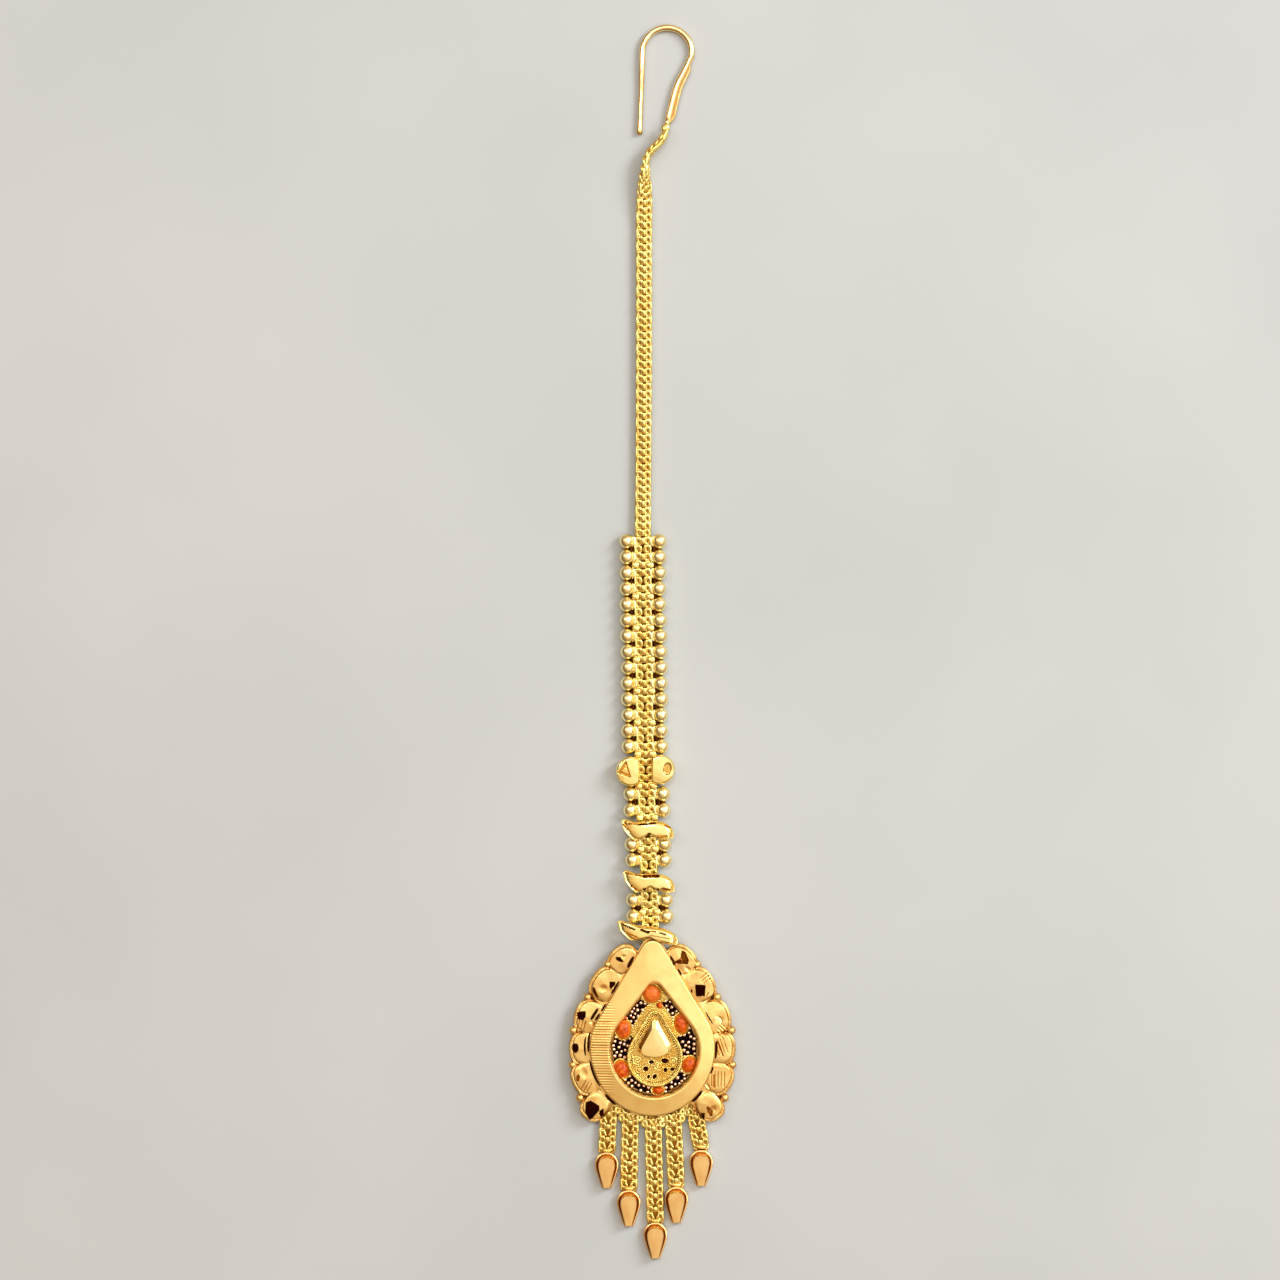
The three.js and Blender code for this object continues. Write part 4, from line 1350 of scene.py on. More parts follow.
chance = random.Random(11)
shares = np.linspace(0, 1, RELIEF_RINGS)[:, None]
radius = (outer_reach - INSIDE_FRAME) * (1 - shares) + (border_reach - INSIDE_EDGE) * shares
grid = FRAME_CENTRE + outward[None] * radius[..., None]
from_frame, from_edge = radius - outer_reach, border_reach - radius
sloping = (RIM_PLATE["near"] - RIM_PLATE["far"]) * ease(from_frame, 0.1, RIM_PLATE["wide"])
relief = RIM_PLATE["near"] - sloping
for row, hand in petal_rows:
    height = domed(grid, row, hand, chance)
    blend = np.clip(0.5 + (height - relief) / SOLDER, 0, 1)
    relief = relief * (1 - blend) + height * blend + 0.25 * SOLDER * blend * (1 - blend)
lip = LIP["z"] - LIP["slope"] * np.abs(from_edge - LIP["crest"] * LIP["wide"])
from_groove = (from_edge - LIP_GROOVE["at"] * LIP["wide"]) / LIP_GROOVE["half_width"]
groove = np.exp(-(from_groove**2))
relief = np.maximum(relief - LIP_GROOVE["depth"] * groove, np.where(from_edge < LIP["wide"], lip, 0))

rings = [polar_ring(outer_reach + out, z) for out, z in FOOT_RINGS]
rings += [np.column_stack([grid[i], relief[i]]) for i in range(RELIEF_RINGS)]
rings += [polar_ring(border_reach + out, z) for out, z in EDGE_RINGS]
border = loft(rings, closed=True)
on_relief = slice(len(FOOT_RINGS) * DIRECTIONS, (len(FOOT_RINGS) + RELIEF_RINGS) * DIRECTIONS)
border.dark[on_relief] = LIP_GROOVE["dark"] * groove.ravel()
print("the relief is", relief.min().round(2), "to", relief.max().round(2), "mm high")

# %% [markdown]
# Now the border is cut. The deep facets are convex polygons, each with its own number of corners,
# because every one was cut by hand.

# %% Deep facets
# All cuts in the relief leave alone what lies under this height.
RELIEF_ABOVE = 1.2
# Corners, depth and how dark the facet is painted, as a dark reflection.
FACETS = [
    ([(-4.81, 10.86), (-4.16, 10.86), (-3.64, 10.14), (-4.23, 10.23), (-4.68, 10.46)], 0.35, 1),
    ([(-7.81, 6.96), (-7.49, 6.89), (-6.96, 5.62), (-7.28, 5.56), (-7.79, 6.31)], 0.3, 0.9),
    ([(-5.55, 7.67), (-4.78, 7.63), (-4.81, 7.28), (-5.4, 6.6), (-5.58, 7.02)], 0.35, 1),
    ([(-9.75, 3.64), (-9.29, 3.8), (-8.67, 3.83), (-8.64, 3.12), (-8.97, 2.6), (-9.62, 2.73),
      (-9.81, 3.19)], 0.35, 1),
    ([(-10.46, -0.65), (-10.21, -0.36), (-9.75, -0.36), (-9.55, -0.78), (-9.58, -1.3),
      (-9.88, -1.65), (-10.27, -1.56), (-10.46, -1.17)], 0.3, 1),
    ([(-9.88, -4.55), (-9.49, -4.37), (-9.39, -4.81), (-9.55, -5.33), (-9.91, -5.27)], 0.25, 0.7),
    ([(-8.67, -8.01), (-8.0, -7.79), (-6.88, -8.46), (-6.88, -9.06), (-7.85, -10.18),
      (-8.22, -10.32), (-8.74, -9.28)], 0.4, 1),
    ([(-6.88, -9.14), (-6.32, -8.76), (-6.32, -9.74), (-6.66, -10.02), (-6.96, -9.5)], 0.35, 1),
    ([(3.85, 11.71), (4.3, 11.49), (4.75, 10.44), (4.6, 9.92), (3.83, 9.96), (3.63, 10.79)], 0.35,
     0.85),
    ([(2.96, 10.3), (3.77, 10.72), (3.9, 9.96), (3.03, 10.0)], 0.35, 0.85),
    ([(5.53, 7.28), (6.92, 7.23), (6.83, 5.75), (5.66, 5.75)], 0.4, 1),
    ([(4.95, 6.7), (5.2, 6.66), (5.28, 6.14), (5.0, 6.2)], 0.25, 0.9),
    ([(7.24, 6.31), (7.4, 6.24), (7.0, 5.53), (6.86, 5.59)], 0.2, 0.6),
    ([(8.4, -0.05), (8.6, -0.05), (9.32, -2.02), (9.12, -2.08)], 0.2, 0.9),
    ([(7.85, -4.4), (8.1, -4.4), (8.2, -6.1), (7.8, -6.2)], 0.15, 0.35),
    ([(6.99, -8.61), (7.35, -8.58), (7.88, -9.2), (7.74, -10.01), (7.21, -9.49)], 0.3, 0.7),
    ([(6.32, -9.36), (6.85, -9.44), (6.76, -10.4), (6.44, -10.01)], 0.35, 0.95),
]
FACET_WALL = 0.12

for corners, depth, dark in FACETS:
    sink(border, in_polygon(border.points, corners, FACET_WALL), depth, dark, RELIEF_ABOVE)
print(len(FACETS), "deep facets")

# %% [markdown]
# A round graver leaves shallow dimples, and a fine one leaves sets of engraved lines side by side,
# which break up the light on the broadest petals.

# %% Dimples and engraved lines
# Place, half widths, turn, depth and how much painted shade they hold.
DIMPLES = [(-6.4, 6.8, 0.7, 0.55, 30, 0.14, 0.25), (-3.75, 10.95, 0.4, 0.3, 0, 0.1, 0.2),
           (8.8, 2.6, 0.8, 0.6, 20, 0.08, 0.0), (-8.9, -4.2, 0.6, 0.9, 10, 0.12, 0.1),
           (7.9, -8.9, 0.7, 0.5, 60, 0.12, 0.15), (4.6, 9.3, 0.6, 0.35, -40, 0.1, 0.15)]
DIMPLE_WALL = 0.9
# The middle of a set, half a line's length, the lines' direction, how far apart and how many.
LINE_SETS = [((8.9, -0.8), 1.0, -72, 0.42, 4), ((8.5, -5.0), 0.95, -92, 0.42, 5),
             ((9.1, 1.2), 0.7, -45, 0.4, 4), ((6.9, 8.1), 0.6, 40, 0.4, 3),
             ((-9.2, 2.0), 0.6, 75, 0.4, 3), ((-8.6, -6.0), 0.7, 60, 0.42, 3)]
# The engraved lines are painted darker, as shade in the grooves.
ENGRAVED = {"half_width": 0.08, "wall": 0.07, "depth": 0.07, "dark": 0.3}

for *place, depth, dark in DIMPLES:
    sink(border, in_oval(border.points, *place, DIMPLE_WALL), depth, dark, RELIEF_ABOVE)
for middle, half_length, towards, apart, count in LINE_SETS:
    turn = math.radians(towards)
    along = np.array([math.cos(turn), math.sin(turn)])
    across = np.array([-math.sin(turn), math.cos(turn)])
    for k in range(count):
        place = np.array(middle) + across * (k - (count - 1) / 2) * apart
        line = in_groove(border.points, place - along * half_length, place + along * half_length,
                         ENGRAVED["half_width"], ENGRAVED["wall"])
        sink(border, line, ENGRAVED["depth"], ENGRAVED["dark"], RELIEF_ABOVE)
print(len(DIMPLES), "dimples and", sum(row[-1] for row in LINE_SETS), "engraved lines")

# %% [markdown]
# Slits were pierced along the frame's edge, where the petals end. Each follows the frame between
# two angles at a given distance, and tapers towards its ends.

# %% Slits along the frame
# A slit is painted nearly black, as the shade in the opening.
SLIT = {"wall": 0.07, "depth": 0.5, "dark": 0.95}
# Each slit: from and to in degrees, and its near and far edge in millimetres outside the frame.
SLITS = [
    (102, 108, 0.02, 0.6), (117, 128, 0.03, 0.38), (137, 145, 0.03, 0.25), (147, 155, 0.05, 0.3),
    (144, 156, 0.52, 0.9), (165, 184, 0.03, 0.33), (170, 187, 0.52, 0.76), (190, 216, 0.04, 0.32),
    (223, 240, 0.06, 0.44), (241, 251, 0.05, 0.36), (257, 274, 0.05, 0.34), (279, 296, 0.05, 0.38),
    (305, 319, 0.06, 0.42), (336, 343, 0.03, 0.25), (350, 367, 0.03, 0.36), (22, 35, 0.25, 0.42),
    (69, 73, 0.05, 0.36), (75, 80, 0.03, 0.5),
]


def in_slits(points):
    """The share of each point inside any slit."""
    angle, distance = polar(points)
    beyond = distance - np.interp(angle, around, outer_reach, period=TURN)
    share = np.zeros(len(points))
    for start, stop, near, far in SLITS:
        half, middle = (stop - start) / 2, (stop + start) / 2
        off = np.abs((np.degrees(angle) - middle + 180) % 360 - 180)
        taper = 1 - np.clip(off / half, 0, 1) ** 4
        width, centre = (far - near) / 2, (far + near) / 2
        share = np.maximum(share, ease(width * taper - np.abs(beyond - centre), 0, SLIT["wall"]))
    return share


sink(border, in_slits(border.points), SLIT["depth"], SLIT["dark"], RELIEF_ABOVE)
print(len(SLITS), "slits follow the frame")

# %% [markdown]
# Last come three small cuts that flash, and the balls in the notches between the petals.

# %% Bright cuts and balls
# Place and half size.
BRIGHT_CUTS = [(-7.85, 1.9, 0.6), (7.0, -6.1, 0.5), (8.5, 2.6, 0.6)]
BALLS = [(5.8, 9.83), (8.42, 5.57), (10.28, 1.27), (10.37, -3.22), (9.41, -7.5)]
BALL = {"radius": 0.58, "z": 1.25}

for x, y, size in BRIGHT_CUTS:
    bright_cut(border, x, y, size, above=1.3)
border_shells = [border]
for hand in (-1, 1):
    border_shells += [ball(hand * x, y, BALL["z"], BALL["radius"], 24, 14) for x, y in BALLS]
print(len(border_shells) - 1, "balls stand between the petals")

# %% [markdown]
# The back plate closes the pendant underneath. It follows the petals and balls, and is a little
# smaller than they are.

# %% Back plate
BACK_TOP = 1.1
BACK_INSET = 0.8
# The plate's edge under the frame: millimetres inwards, and height.
BACK_EDGE = [(0.1, 0.0), (0, 0.1), (0, 1.0), (0.1, BACK_TOP)]
# The wings' outline, from the peak down one side.
WING = [(0.5, 11.5), *BALLS, (8.2, -9.5), (7.1, -9.3), (5.4, -6.2)]

border_shells.append(stepped(pear("frame", -BACK_INSET), BACK_EDGE))
for hand in (-1, 1):
    corners = np.array([(0, 0), *WING]) * np.array([hand, 1])
    outline = evenly(corners, spacing=0.3, closed=True)
    border_shells.append(loft([flat_path(outline, z) for z in (0.05, BACK_TOP - 0.1)]))
make_piece("petal_border", border_shells, struck_gold, "border_gold", "pendant_border",
           smooth_below=34)

# %% [markdown]
# ## The satin frame
#
# The frame is a broad band, nearly flat. It falls away a few degrees towards its outer edge, so
# that each limb mirrors another part of the room and takes its own shade. A fine-toothed liner has
# ruled it with parallel lines across the whole pendant, some deeper than others, deepest on the
# left limb and almost polished away on the right. Its inner edge steps down in a bevel and a
# narrow lip to the well.

# %% Frame
# Each ring of the section: millimetres outside the inner outline, and height.
FRAME_INNER = [(0.0, 1.3), (0.0, 2.42), (0.01, 2.5), (0.04, 2.56), (0.09, 2.68), (0.11, 2.72),
               (0.14, 2.71), (0.16, 2.72), (0.2, 2.88), (0.25, 2.95)]
# The outer edge: millimetres inside the outer outline, and height.
FRAME_OUTER = [(0.08, 2.64), (0.02, 2.56), (0.0, 2.48), (0.0, 1.45), (0.15, 1.3)]
# The top between the two edges: its highest point, how far it falls, and how many rings it has.
FRAME_TOP = {"z": 2.99, "fall": 0.3, "rings": 30, "inner": 0.42, "outer": 0.16}
top_from, top_to = inner_reach + FRAME_TOP["inner"], outer_reach - FRAME_TOP["outer"]
rings = [polar_ring(inner_reach + out, z) for out, z in FRAME_INNER]
rings += [polar_ring(top_from + share * (top_to - top_from), FRAME_TOP["z"] - FRAME_TOP["fall"] * share)
          for share in np.linspace(0, 1, FRAME_TOP["rings"])]
rings += [polar_ring(outer_reach - within, z) for within, z in FRAME_OUTER]
frame_band = loft(rings, closed=True)
print("the frame's section has", len(rings), "points")

# %% [markdown]
# Each ruled line runs straight across, so its depth depends on y alone. A random strength for each
# line keeps them from looking printed.

# %% Ruled lines
LINE_PITCH = 0.34
LINE_DEPTH = 0.045
# LINE_DARK paints the ruled lines darker with their depth, as shade in the grooves.
LINE_DARK = 0.4
LINES_ABOVE = 2.66
LINE_STRENGTHS = np.random.default_rng(4).uniform(0.35, 1.3, 200)
# The strength everywhere, and the strength added on the left limb.
RULED = {"all": 0.05, "left": 0.95}
# Over these stretches the left limb ends: towards the middle, the peak and the foot.
LEFT_LIMB = {"middle": (-6.2, -4.2), "peak": (2.5, 6.5), "foot": (-8.5, -5.5)}

points = frame_band.points
on_left_limb = 1 - ease(points[:, 0], *LEFT_LIMB["middle"])
on_left_limb *= (1 - ease(points[:, 1], *LEFT_LIMB["peak"])) * ease(points[:, 1], *LEFT_LIMB["foot"])
strength = RULED["all"] + RULED["left"] * on_left_limb
lines = (0.5 - 0.5 * np.cos(points[:, 1] / LINE_PITCH * TURN)) ** 2
lines *= LINE_STRENGTHS[np.floor(points[:, 1] / LINE_PITCH).astype(int) + len(LINE_STRENGTHS) // 2]
lines = strength * lines * (points[:, 2] > LINES_ABOVE)
frame_band.points[:, 2] -= LINE_DEPTH * lines
frame_band.dark[:] = np.clip(LINE_DARK * lines, 0, 1)
make_piece("satin_frame", [frame_band], satin_gold, "satin_gold", "pendant_frame", smooth_below=40)

# %% [markdown]
# ## The well
#
# The floor of the well is blackened, and gold granules are scattered over it in patches between
# the enamel dots. Around the upper half of the raised centre lies an apron of packed bright
# grains, and more of them fill the tip. The apron and the tip are thin sheets, each cut from a
# pear's outline and closed below by a bowed line.

# %% Apron, tip and the dots' places
DOTS = [
    {"name": "top", "x": -0.1, "y": 6.1, "wide": 2.05, "long": 2.05, "turn": 0, "thin": 0.4},
    {"name": "upper_left", "x": -3.75, "y": 1.45, "wide": 1.6, "long": 2.2, "turn": -4, "thin": 0.1},
    {"name": "upper_right", "x": 3.7, "y": 2.2, "wide": 1.45, "long": 2.3, "turn": 10, "thin": 0},
    {"name": "lower_left", "x": -3.95, "y": -3.65, "wide": 1.6, "long": 2.1, "turn": 25, "thin": 0},
    {"name": "lower_right", "x": 4.75, "y": -3.1, "wide": 1.45, "long": 1.9, "turn": -25, "thin": 0},
    {"name": "bottom", "x": 0.72, "y": -6.4, "wide": 0.8, "long": 1.15, "turn": 90, "thin": 0},
]
WELL_FLOOR = 1.6
APRON = {"grow": 0.85, "down_to": 0.9, "bow": 2.4, "top": 1.9, "dark": 0.25}
TIP = {"down_to": 5.3, "bow": 0.6}
CLOSING_POINTS = 22


def upper_part(outline, down_to, bow):
    """The part of a closed outline above a height, closed by a line that is bowed downwards."""
    above = outline[:, 1] > down_to
    first = np.flatnonzero(above & ~np.roll(above, 1))[0]
    kept = np.roll(outline, -first, axis=0)[:above.sum()]
    share = np.linspace(0, 1, CLOSING_POINTS + 2)[1:-1, None]
    closing = kept[-1] + (kept[0] - kept[-1]) * share - np.array([0, bow]) * np.sin(share * math.pi)
    return np.vstack([kept, closing])


apron = upper_part(pear("centre", APRON["grow"]), APRON["down_to"], APRON["bow"])
tip = upper_part(pear("well", -0.22), TIP["down_to"], TIP["bow"])
print("the apron has", len(apron), "points and the tip", len(tip))

# %% [markdown]
# Granules are made by melting clippings on charcoal, so they vary a little in size. Here they are
# dropped at random places, and one is kept only where it fits beside the others. They are
# blackened like the floor, and painted lighter by height: painted shade on the flanks and a
# painted highlight on the crown.

# %% Places for granules
grain_room = pear("well", -0.25, count=120)
centre_room = pear("centre", 0.2, count=120)


def near_oval(x, y, oval_x, oval_y, across, along, turn, room):
    """Whether a place lies inside an ellipse that has been made larger all round by some room."""
    u, v = from_middle(np.array([x, y]), oval_x, oval_y, turn)
    return math.hypot(u / (across + room), v / (along + room)) < 1


def near_dot(x, y, room):
    """Whether a place lies in an enamel dot or nearer to one than the room."""
    return any(near_oval(x, y, dot["x"], dot["y"], dot["wide"] / 2, dot["long"] / 2, dot["turn"], room)
               for dot in DOTS)


def in_apron(x, y):
    """Whether a place lies on the apron or the tip."""
    return inside(tip, x, y) or inside(apron, x, y)


def in_ring_of_well(x, y):
    """Whether a place lies between the well's wall and the raised centre."""
    return inside(grain_room, x, y) and not inside(centre_room, x, y)


def scatter(allowed, room, tries, small, large, seed, spacing):
    """Random granules at places that the test allows, at least spacing times their sizes apart."""
    chance = random.Random(seed)
    (left, down), (right, up) = room.min(0), room.max(0)
    kept = []
    for _ in range(tries):
        x, y = chance.uniform(left, right), chance.uniform(down, up)
        size = chance.uniform(small, large)
        if allowed(x, y) and all(math.hypot(x - a, y - b) > spacing * (size + other)
                                 for a, b, other in kept):
            kept.append((x, y, size))
    return kept


dark_grains = scatter(
    lambda x, y: in_ring_of_well(x, y) and not in_apron(x, y) and not near_dot(x, y, 0.36),
    grain_room, tries=7000, small=0.23, large=0.33, seed=3, spacing=0.9,
)
bright_grains = scatter(
    lambda x, y: in_ring_of_well(x, y) and in_apron(x, y) and not near_dot(x, y, 0.3),
    grain_room, tries=9000, small=0.11, large=0.17, seed=5, spacing=0.88,
)
print(len(dark_grains), "dark granules and", len(bright_grains), "bright ones")

# %% [markdown]
# The floor and its dark granules are one piece, in the blackened finish. The apron's grains are
# kept for the gold piece that the collets belong to.

# %% The floor and its granules


def granule(x, y, z, size):
    """A granule painted black on its flanks and gold on its crown: painted shade and highlight."""
    made = ball(0, 0, 0, size, 14, 12)
    made.dark = 1 - ease(made.points[:, 2], 0.5 * size, 0.9 * size)
    return made.moved(x, y, z)


floor = stepped(pear("well", -0.2), [(0, 1.3), (0, WELL_FLOOR)])
floor.dark[:] = 1.0
well_shells = [floor] + [granule(x, y, WELL_FLOOR + 0.12, size) for x, y, size in dark_grains]
make_piece("blackened_well", well_shells, blackened, "darkened_well", "pendant_well")

apron_shells = [loft([flat_path(outline, WELL_FLOOR), flat_path(outline, APRON["top"])])
                for outline in (apron, tip)]
# The sheets are painted darker, partly oxide and partly painted shade among the grains.
for sheet in apron_shells:
    sheet.dark[:] = APRON["dark"]
apron_shells += [ball(x, y, APRON["top"] + 0.02, size, 10, 7) for x, y, size in bright_grains]
print("the apron stands", round(APRON["top"] - WELL_FLOOR, 2), "mm above the floor")

# %% [markdown]
# Each enamel dot sits in a collet, a thin strip bent into an oval, with a finely twisted wire laid
# round it. The collets are gold, so they go with the bright grains and not with the blackened
# floor. Some enamel ran over beside two of the dots and was left there as a small bead. The top dot
# is fired thinner than the rest, so it looks paler.

# %% Collets and enamel
# A collet's section, in millimetres outwards and up, and how far it runs outside the glass.
COLLET = [(-0.02, 0), (0.12, 0), (0.12, 0.42), (0.06, 0.5), (-0.02, 0.44)]
COLLET_OUT = 0.08
COLLET_TWIST = {"out": 0.26, "up": 0.3, "strand": 0.07, "pitch": 0.32}
# The glass dome from its foot to its crown: share of its size, and height above the floor.
DOME = [(0.98, 0)] + [(math.cos(a), 0.3 + 0.66 * math.sin(a)) for a in np.radians(range(0, 90, 7))]
DOME_POINTS = 48
# Place and radius of the beads of enamel that ran over.
OVERRUNS = {"top": (0.95, 4.6, 0.42), "upper_left": (-3.55, 2.95, 0.3)}

for dot in DOTS:
    place = {"turn": dot["turn"], "x": dot["x"], "y": dot["y"]}
    half_wide, half_long = dot["wide"] / 2, dot["long"] / 2
    strip = oval(half_wide + COLLET_OUT, half_long + COLLET_OUT, 120, **place)
    apron_shells.append(sweep(flat_path(strip, WELL_FLOOR), COLLET, closed=True))
    rim = oval(half_wide + COLLET_TWIST["out"], half_long + COLLET_TWIST["out"], 200, **place)
    apron_shells += rope(flat_path(rim, WELL_FLOOR + COLLET_TWIST["up"]), COLLET_TWIST["strand"],
                         COLLET_TWIST["pitch"], sides=5, closed=True)

    outline = oval(half_wide + COLLET_OUT, half_long + COLLET_OUT, DOME_POINTS, **place)
    glass_dome = pillow(outline, [(share, WELL_FLOOR + z) for share, z in DOME])
    edge = np.repeat([ease(share, 0.8, 0.96) for share, _ in DOME], DOME_POINTS)
    glass_dome.dark = np.maximum(edge, dot["thin"])
    glass_shells = [glass_dome]
    if dot["name"] in OVERRUNS:
        x, y, size = OVERRUNS[dot["name"]]
        glass_shells.append(ball(x, y, WELL_FLOOR + 0.35, size, 20, 12))
    make_piece(f"enamel_{dot['name']}", glass_shells, enamel, "orange_enamel",
               f"enamel_dot_{dot['name']}")
make_piece("grains_and_collets", apron_shells, grain_gold, "border_gold")
print(len(DOTS), "dots of enamel in their collets")

# %% [markdown]
# ## The raised centre
#
# A pear-shaped box stands in the well. Its wall carries a twisted wire and, inside that, rows of
# tiny grains that jewellers call milgrain. Below the mirror plate the box has a floor of filigree:
# scrolls of fine wire and grains, with openings sawn between them.

# %% Box and rim of the centre
CENTRE_FLOOR = 2.3
FLOOR_DARK = 0.35
# The wall and rim: millimetres inwards, and height.
BOX_EDGE = [(0, 1.8), (0, 2.4), (0.06, 2.5), (0.3, 2.54), (0.44, 2.48), (0.56, 2.34),
            (0.6, CENTRE_FLOOR)]
# The openings sawn through the filigree: place, half widths and turn.
OPENINGS = [(-0.13, -2.72, 0.34, 0.22, 0), (-0.85, -3.6, 0.36, 0.33, 0),
            (1.62, -2.56, 0.5, 0.34, -8), (1.7, -3.74, 0.26, 0.28, 0), (2.62, -3.64, 0.36, 0.2, 10),
            (0.3, -4.6, 0.24, 0.36, -40), (-0.5, -4.62, 0.18, 0.27, -20),
            (-2.75, -2.65, 0.14, 0.18, 0)]
RIM_TWIST = {"inside": 0.13, "z": 2.56, "strand": 0.11, "pitch": 0.42}
# Rows of milgrain: millimetres inwards as a minus, how many grains, their radius and height.
MILGRAIN = [(-0.38, 92, 0.115, 2.56), (-0.62, 84, 0.11, 2.42)]

crown = [(share, CENTRE_FLOOR) for share in np.linspace(0.96, 0.02, 46)]
box = stepped(pear("centre", 0, 360), BOX_EDGE, crown)
# The box's floor is painted darker, partly oxide and partly painted shade among the filigree, and the
# openings are painted black below, as the shade seen through them.
box.dark = FLOOR_DARK * (box.points[:, 2] < CENTRE_FLOOR + 0.01)
for opening in OPENINGS:
    sink(box, in_oval(box.points, *opening, wall=0.35), 0.35, dark=1.0, above=2.2)
rim_shells = [box]
twist_line = flat_path(pear("centre", -RIM_TWIST["inside"], 700), RIM_TWIST["z"])
rim_shells += rope(twist_line, RIM_TWIST["strand"], RIM_TWIST["pitch"], closed=True)
for grow, count, size, z in MILGRAIN:
    rim_shells += [ball(x, y, z, size, 9, 7) for x, y in pear("centre", grow, count)]
print(sum(count for _, count, _, _ in MILGRAIN), "grains of milgrain")

# %% [markdown]
# Filigree is fine wire bent into scrolls with tweezers and soldered down, with a grain in the eye
# of each. Round every opening lies a ring of wire, and small grains fill what is left.

# %% Filigree
FILIGREE_Z = 2.36
FILIGREE_WIRE = 0.1
EYE_GRAIN = 0.14
# Each ring of wire lies this far outside its opening and below the scrolls.
RING = {"out": 0.07, "below": 0.04, "wire": 0.075}
# Scrolls: centre, size, where they start in degrees, turns, and the hand they wind to.
SCROLLS = [(-1.95, -2.45, 0.62, 60, 1.6, 1), (2.62, -2.55, 0.6, 120, 1.6, -1),
           (0.78, -3.2, 0.62, 90, 1.7, 1), (-1.75, -3.75, 0.45, 200, 1.3, -1)]

for x, y, size, start, turns, hand in SCROLLS:
    angle = np.linspace(0, turns * TURN, int(36 * turns))
    radius = size * (0.2 + 0.8 * angle / angle[-1])
    turn = math.radians(start) + hand * angle
    line = np.column_stack([x + radius * np.cos(turn), y + radius * np.sin(turn)])
    rim_shells.append(wire(flat_path(line, FILIGREE_Z), FILIGREE_WIRE, sides=7))
    rim_shells.append(ball(x, y, FILIGREE_Z + 0.04, EYE_GRAIN, 10, 7))
for x, y, across, along, turn in OPENINGS:
    ring = oval(across + RING["out"], along + RING["out"], 24, turn, x, y)
    rim_shells.append(sweep(flat_path(ring, FILIGREE_Z - RING["below"]), circle(RING["wire"], 6),
                            closed=True))
filigree_room = pear("centre", -0.75, count=120)
plate_room = pear("plate", 0.12, count=120)


def free_for_grains(x, y):
    """Whether a place on the floor is free of the plate and the openings' rings."""
    return (inside(filigree_room, x, y) and not inside(plate_room, x, y)
            and not any(near_oval(x, y, *opening[:4], turn=0, room=0.2) for opening in OPENINGS))


fill_grains = scatter(free_for_grains, filigree_room, tries=4000, small=0.08, large=0.14, seed=9,
                      spacing=0.95)
rim_shells += [ball(x, y, CENTRE_FLOOR + 0.03, size, 8, 6) for x, y, size in fill_grains]
make_piece("centre_box", rim_shells, grain_gold, "rim_gold", "centre_rim")
print(len(SCROLLS), "scrolls and", len(fill_grains), "filling grains")

# %% [markdown]
# The mirror plate is the one quiet surface of the pendant, a pear of burnished sheet with a
# bevelled edge. Its very slight crown keeps the reflection from being one flat tone.

# %% Mirror plate
# The plate's wall: millimetres inwards, and height.
MIRROR_WALL = [(0.05, 2.3), (0, 2.36), (0, 2.68), (0.03, 2.72)]
MIRROR_TOP = 3.03
# The polished flat is the outline drawn smaller towards a point on the lower edge, so the bevel is
# widest at the upper right, where it leans 25 degrees to the light.
TOWARDS = np.array([0.0, -1.95])
FLAT_SHARE = 0.8
MIRROR_CROWN = [(0.98, 3.045), (0.85, 3.06), (0.6, 3.08), (0.35, 3.095), (0.02, 3.1)]
BEVEL_DARK = 0.5

outline = pear("plate", 0, 300)
flat = TOWARDS + FLAT_SHARE * (outline - TOWARDS)
rings = [flat_path(inset(outline, within), z) for within, z in MIRROR_WALL]
rings.append(flat_path(flat, MIRROR_TOP))
rings += [flat_path(flat.mean(0) + share * (flat - flat.mean(0)), z) for share, z in MIRROR_CROWN]
plate = loft(rings)
# The bevel is painted darker on the left, as painted shade where it looks away from the window.
leaning_left = np.clip(-(plate.points[:, 0] - 0.33 + 0.4 * (plate.points[:, 1] - 0.5)) / 0.8, 0, 1)
plate.dark = BEVEL_DARK * leaning_left * (plate.points[:, 2] < MIRROR_TOP + 0.005)
make_piece("mirror_plate", [plate], burnished_gold, "mirror_gold", "centre_plate", smooth_below=12)
print("the polished flat is", np.ptp(flat, axis=0).round(2), "mm across and along")

# %% [markdown]
# ## The fringe
#
# Five short lengths of the same kind of chain, a little wider, hang under the frame from a cluster
# of jump rings. Every second pair of links has two slanting struts in place of a bridge, with
# openings between them that show the strip inside, brown with painted shade, and there the rails
# bulge. Below the last links a smooth cap closes the chain's end.

# %% Fringe chains
FRINGE_THICK = 1.1
FRINGE_LINK = {"wide": 0.98, "long": 1.28, "wire": 0.2, "apart": 0.64, "tilt": 12, "roll": 6,
               "thick": FRINGE_THICK, "jitter": 6.0, "every": 2,
               "lumps": [((0,), (0.4, 0.46, 0.2), 0, 0.03, 12, 0),
                         ((1,), (0.2, 0.9, 0.26), 0.98, 0.12, 0, 0),
                         ((1,), (0.16, 0.42, 0.17), 0.3, 0.02, 0, 32)]}
END_CAP = {"half_sizes": (0.85, 0.34, 0.4), "x": 0, "top": 0.4}
# The fringe's strip inside holds less painted shade than the main chain's.
FRINGE_CORE = {"half_wide": 0.75, "points": slice(8, -4), "dark": 0.75}
FRINGE_PITCH = 0.875
UNDER_FRAME = 0.5
# The links keep this far from the chain's two ends.
HEAD_ROOM, FOOT_ROOM = 0.6, 0.65
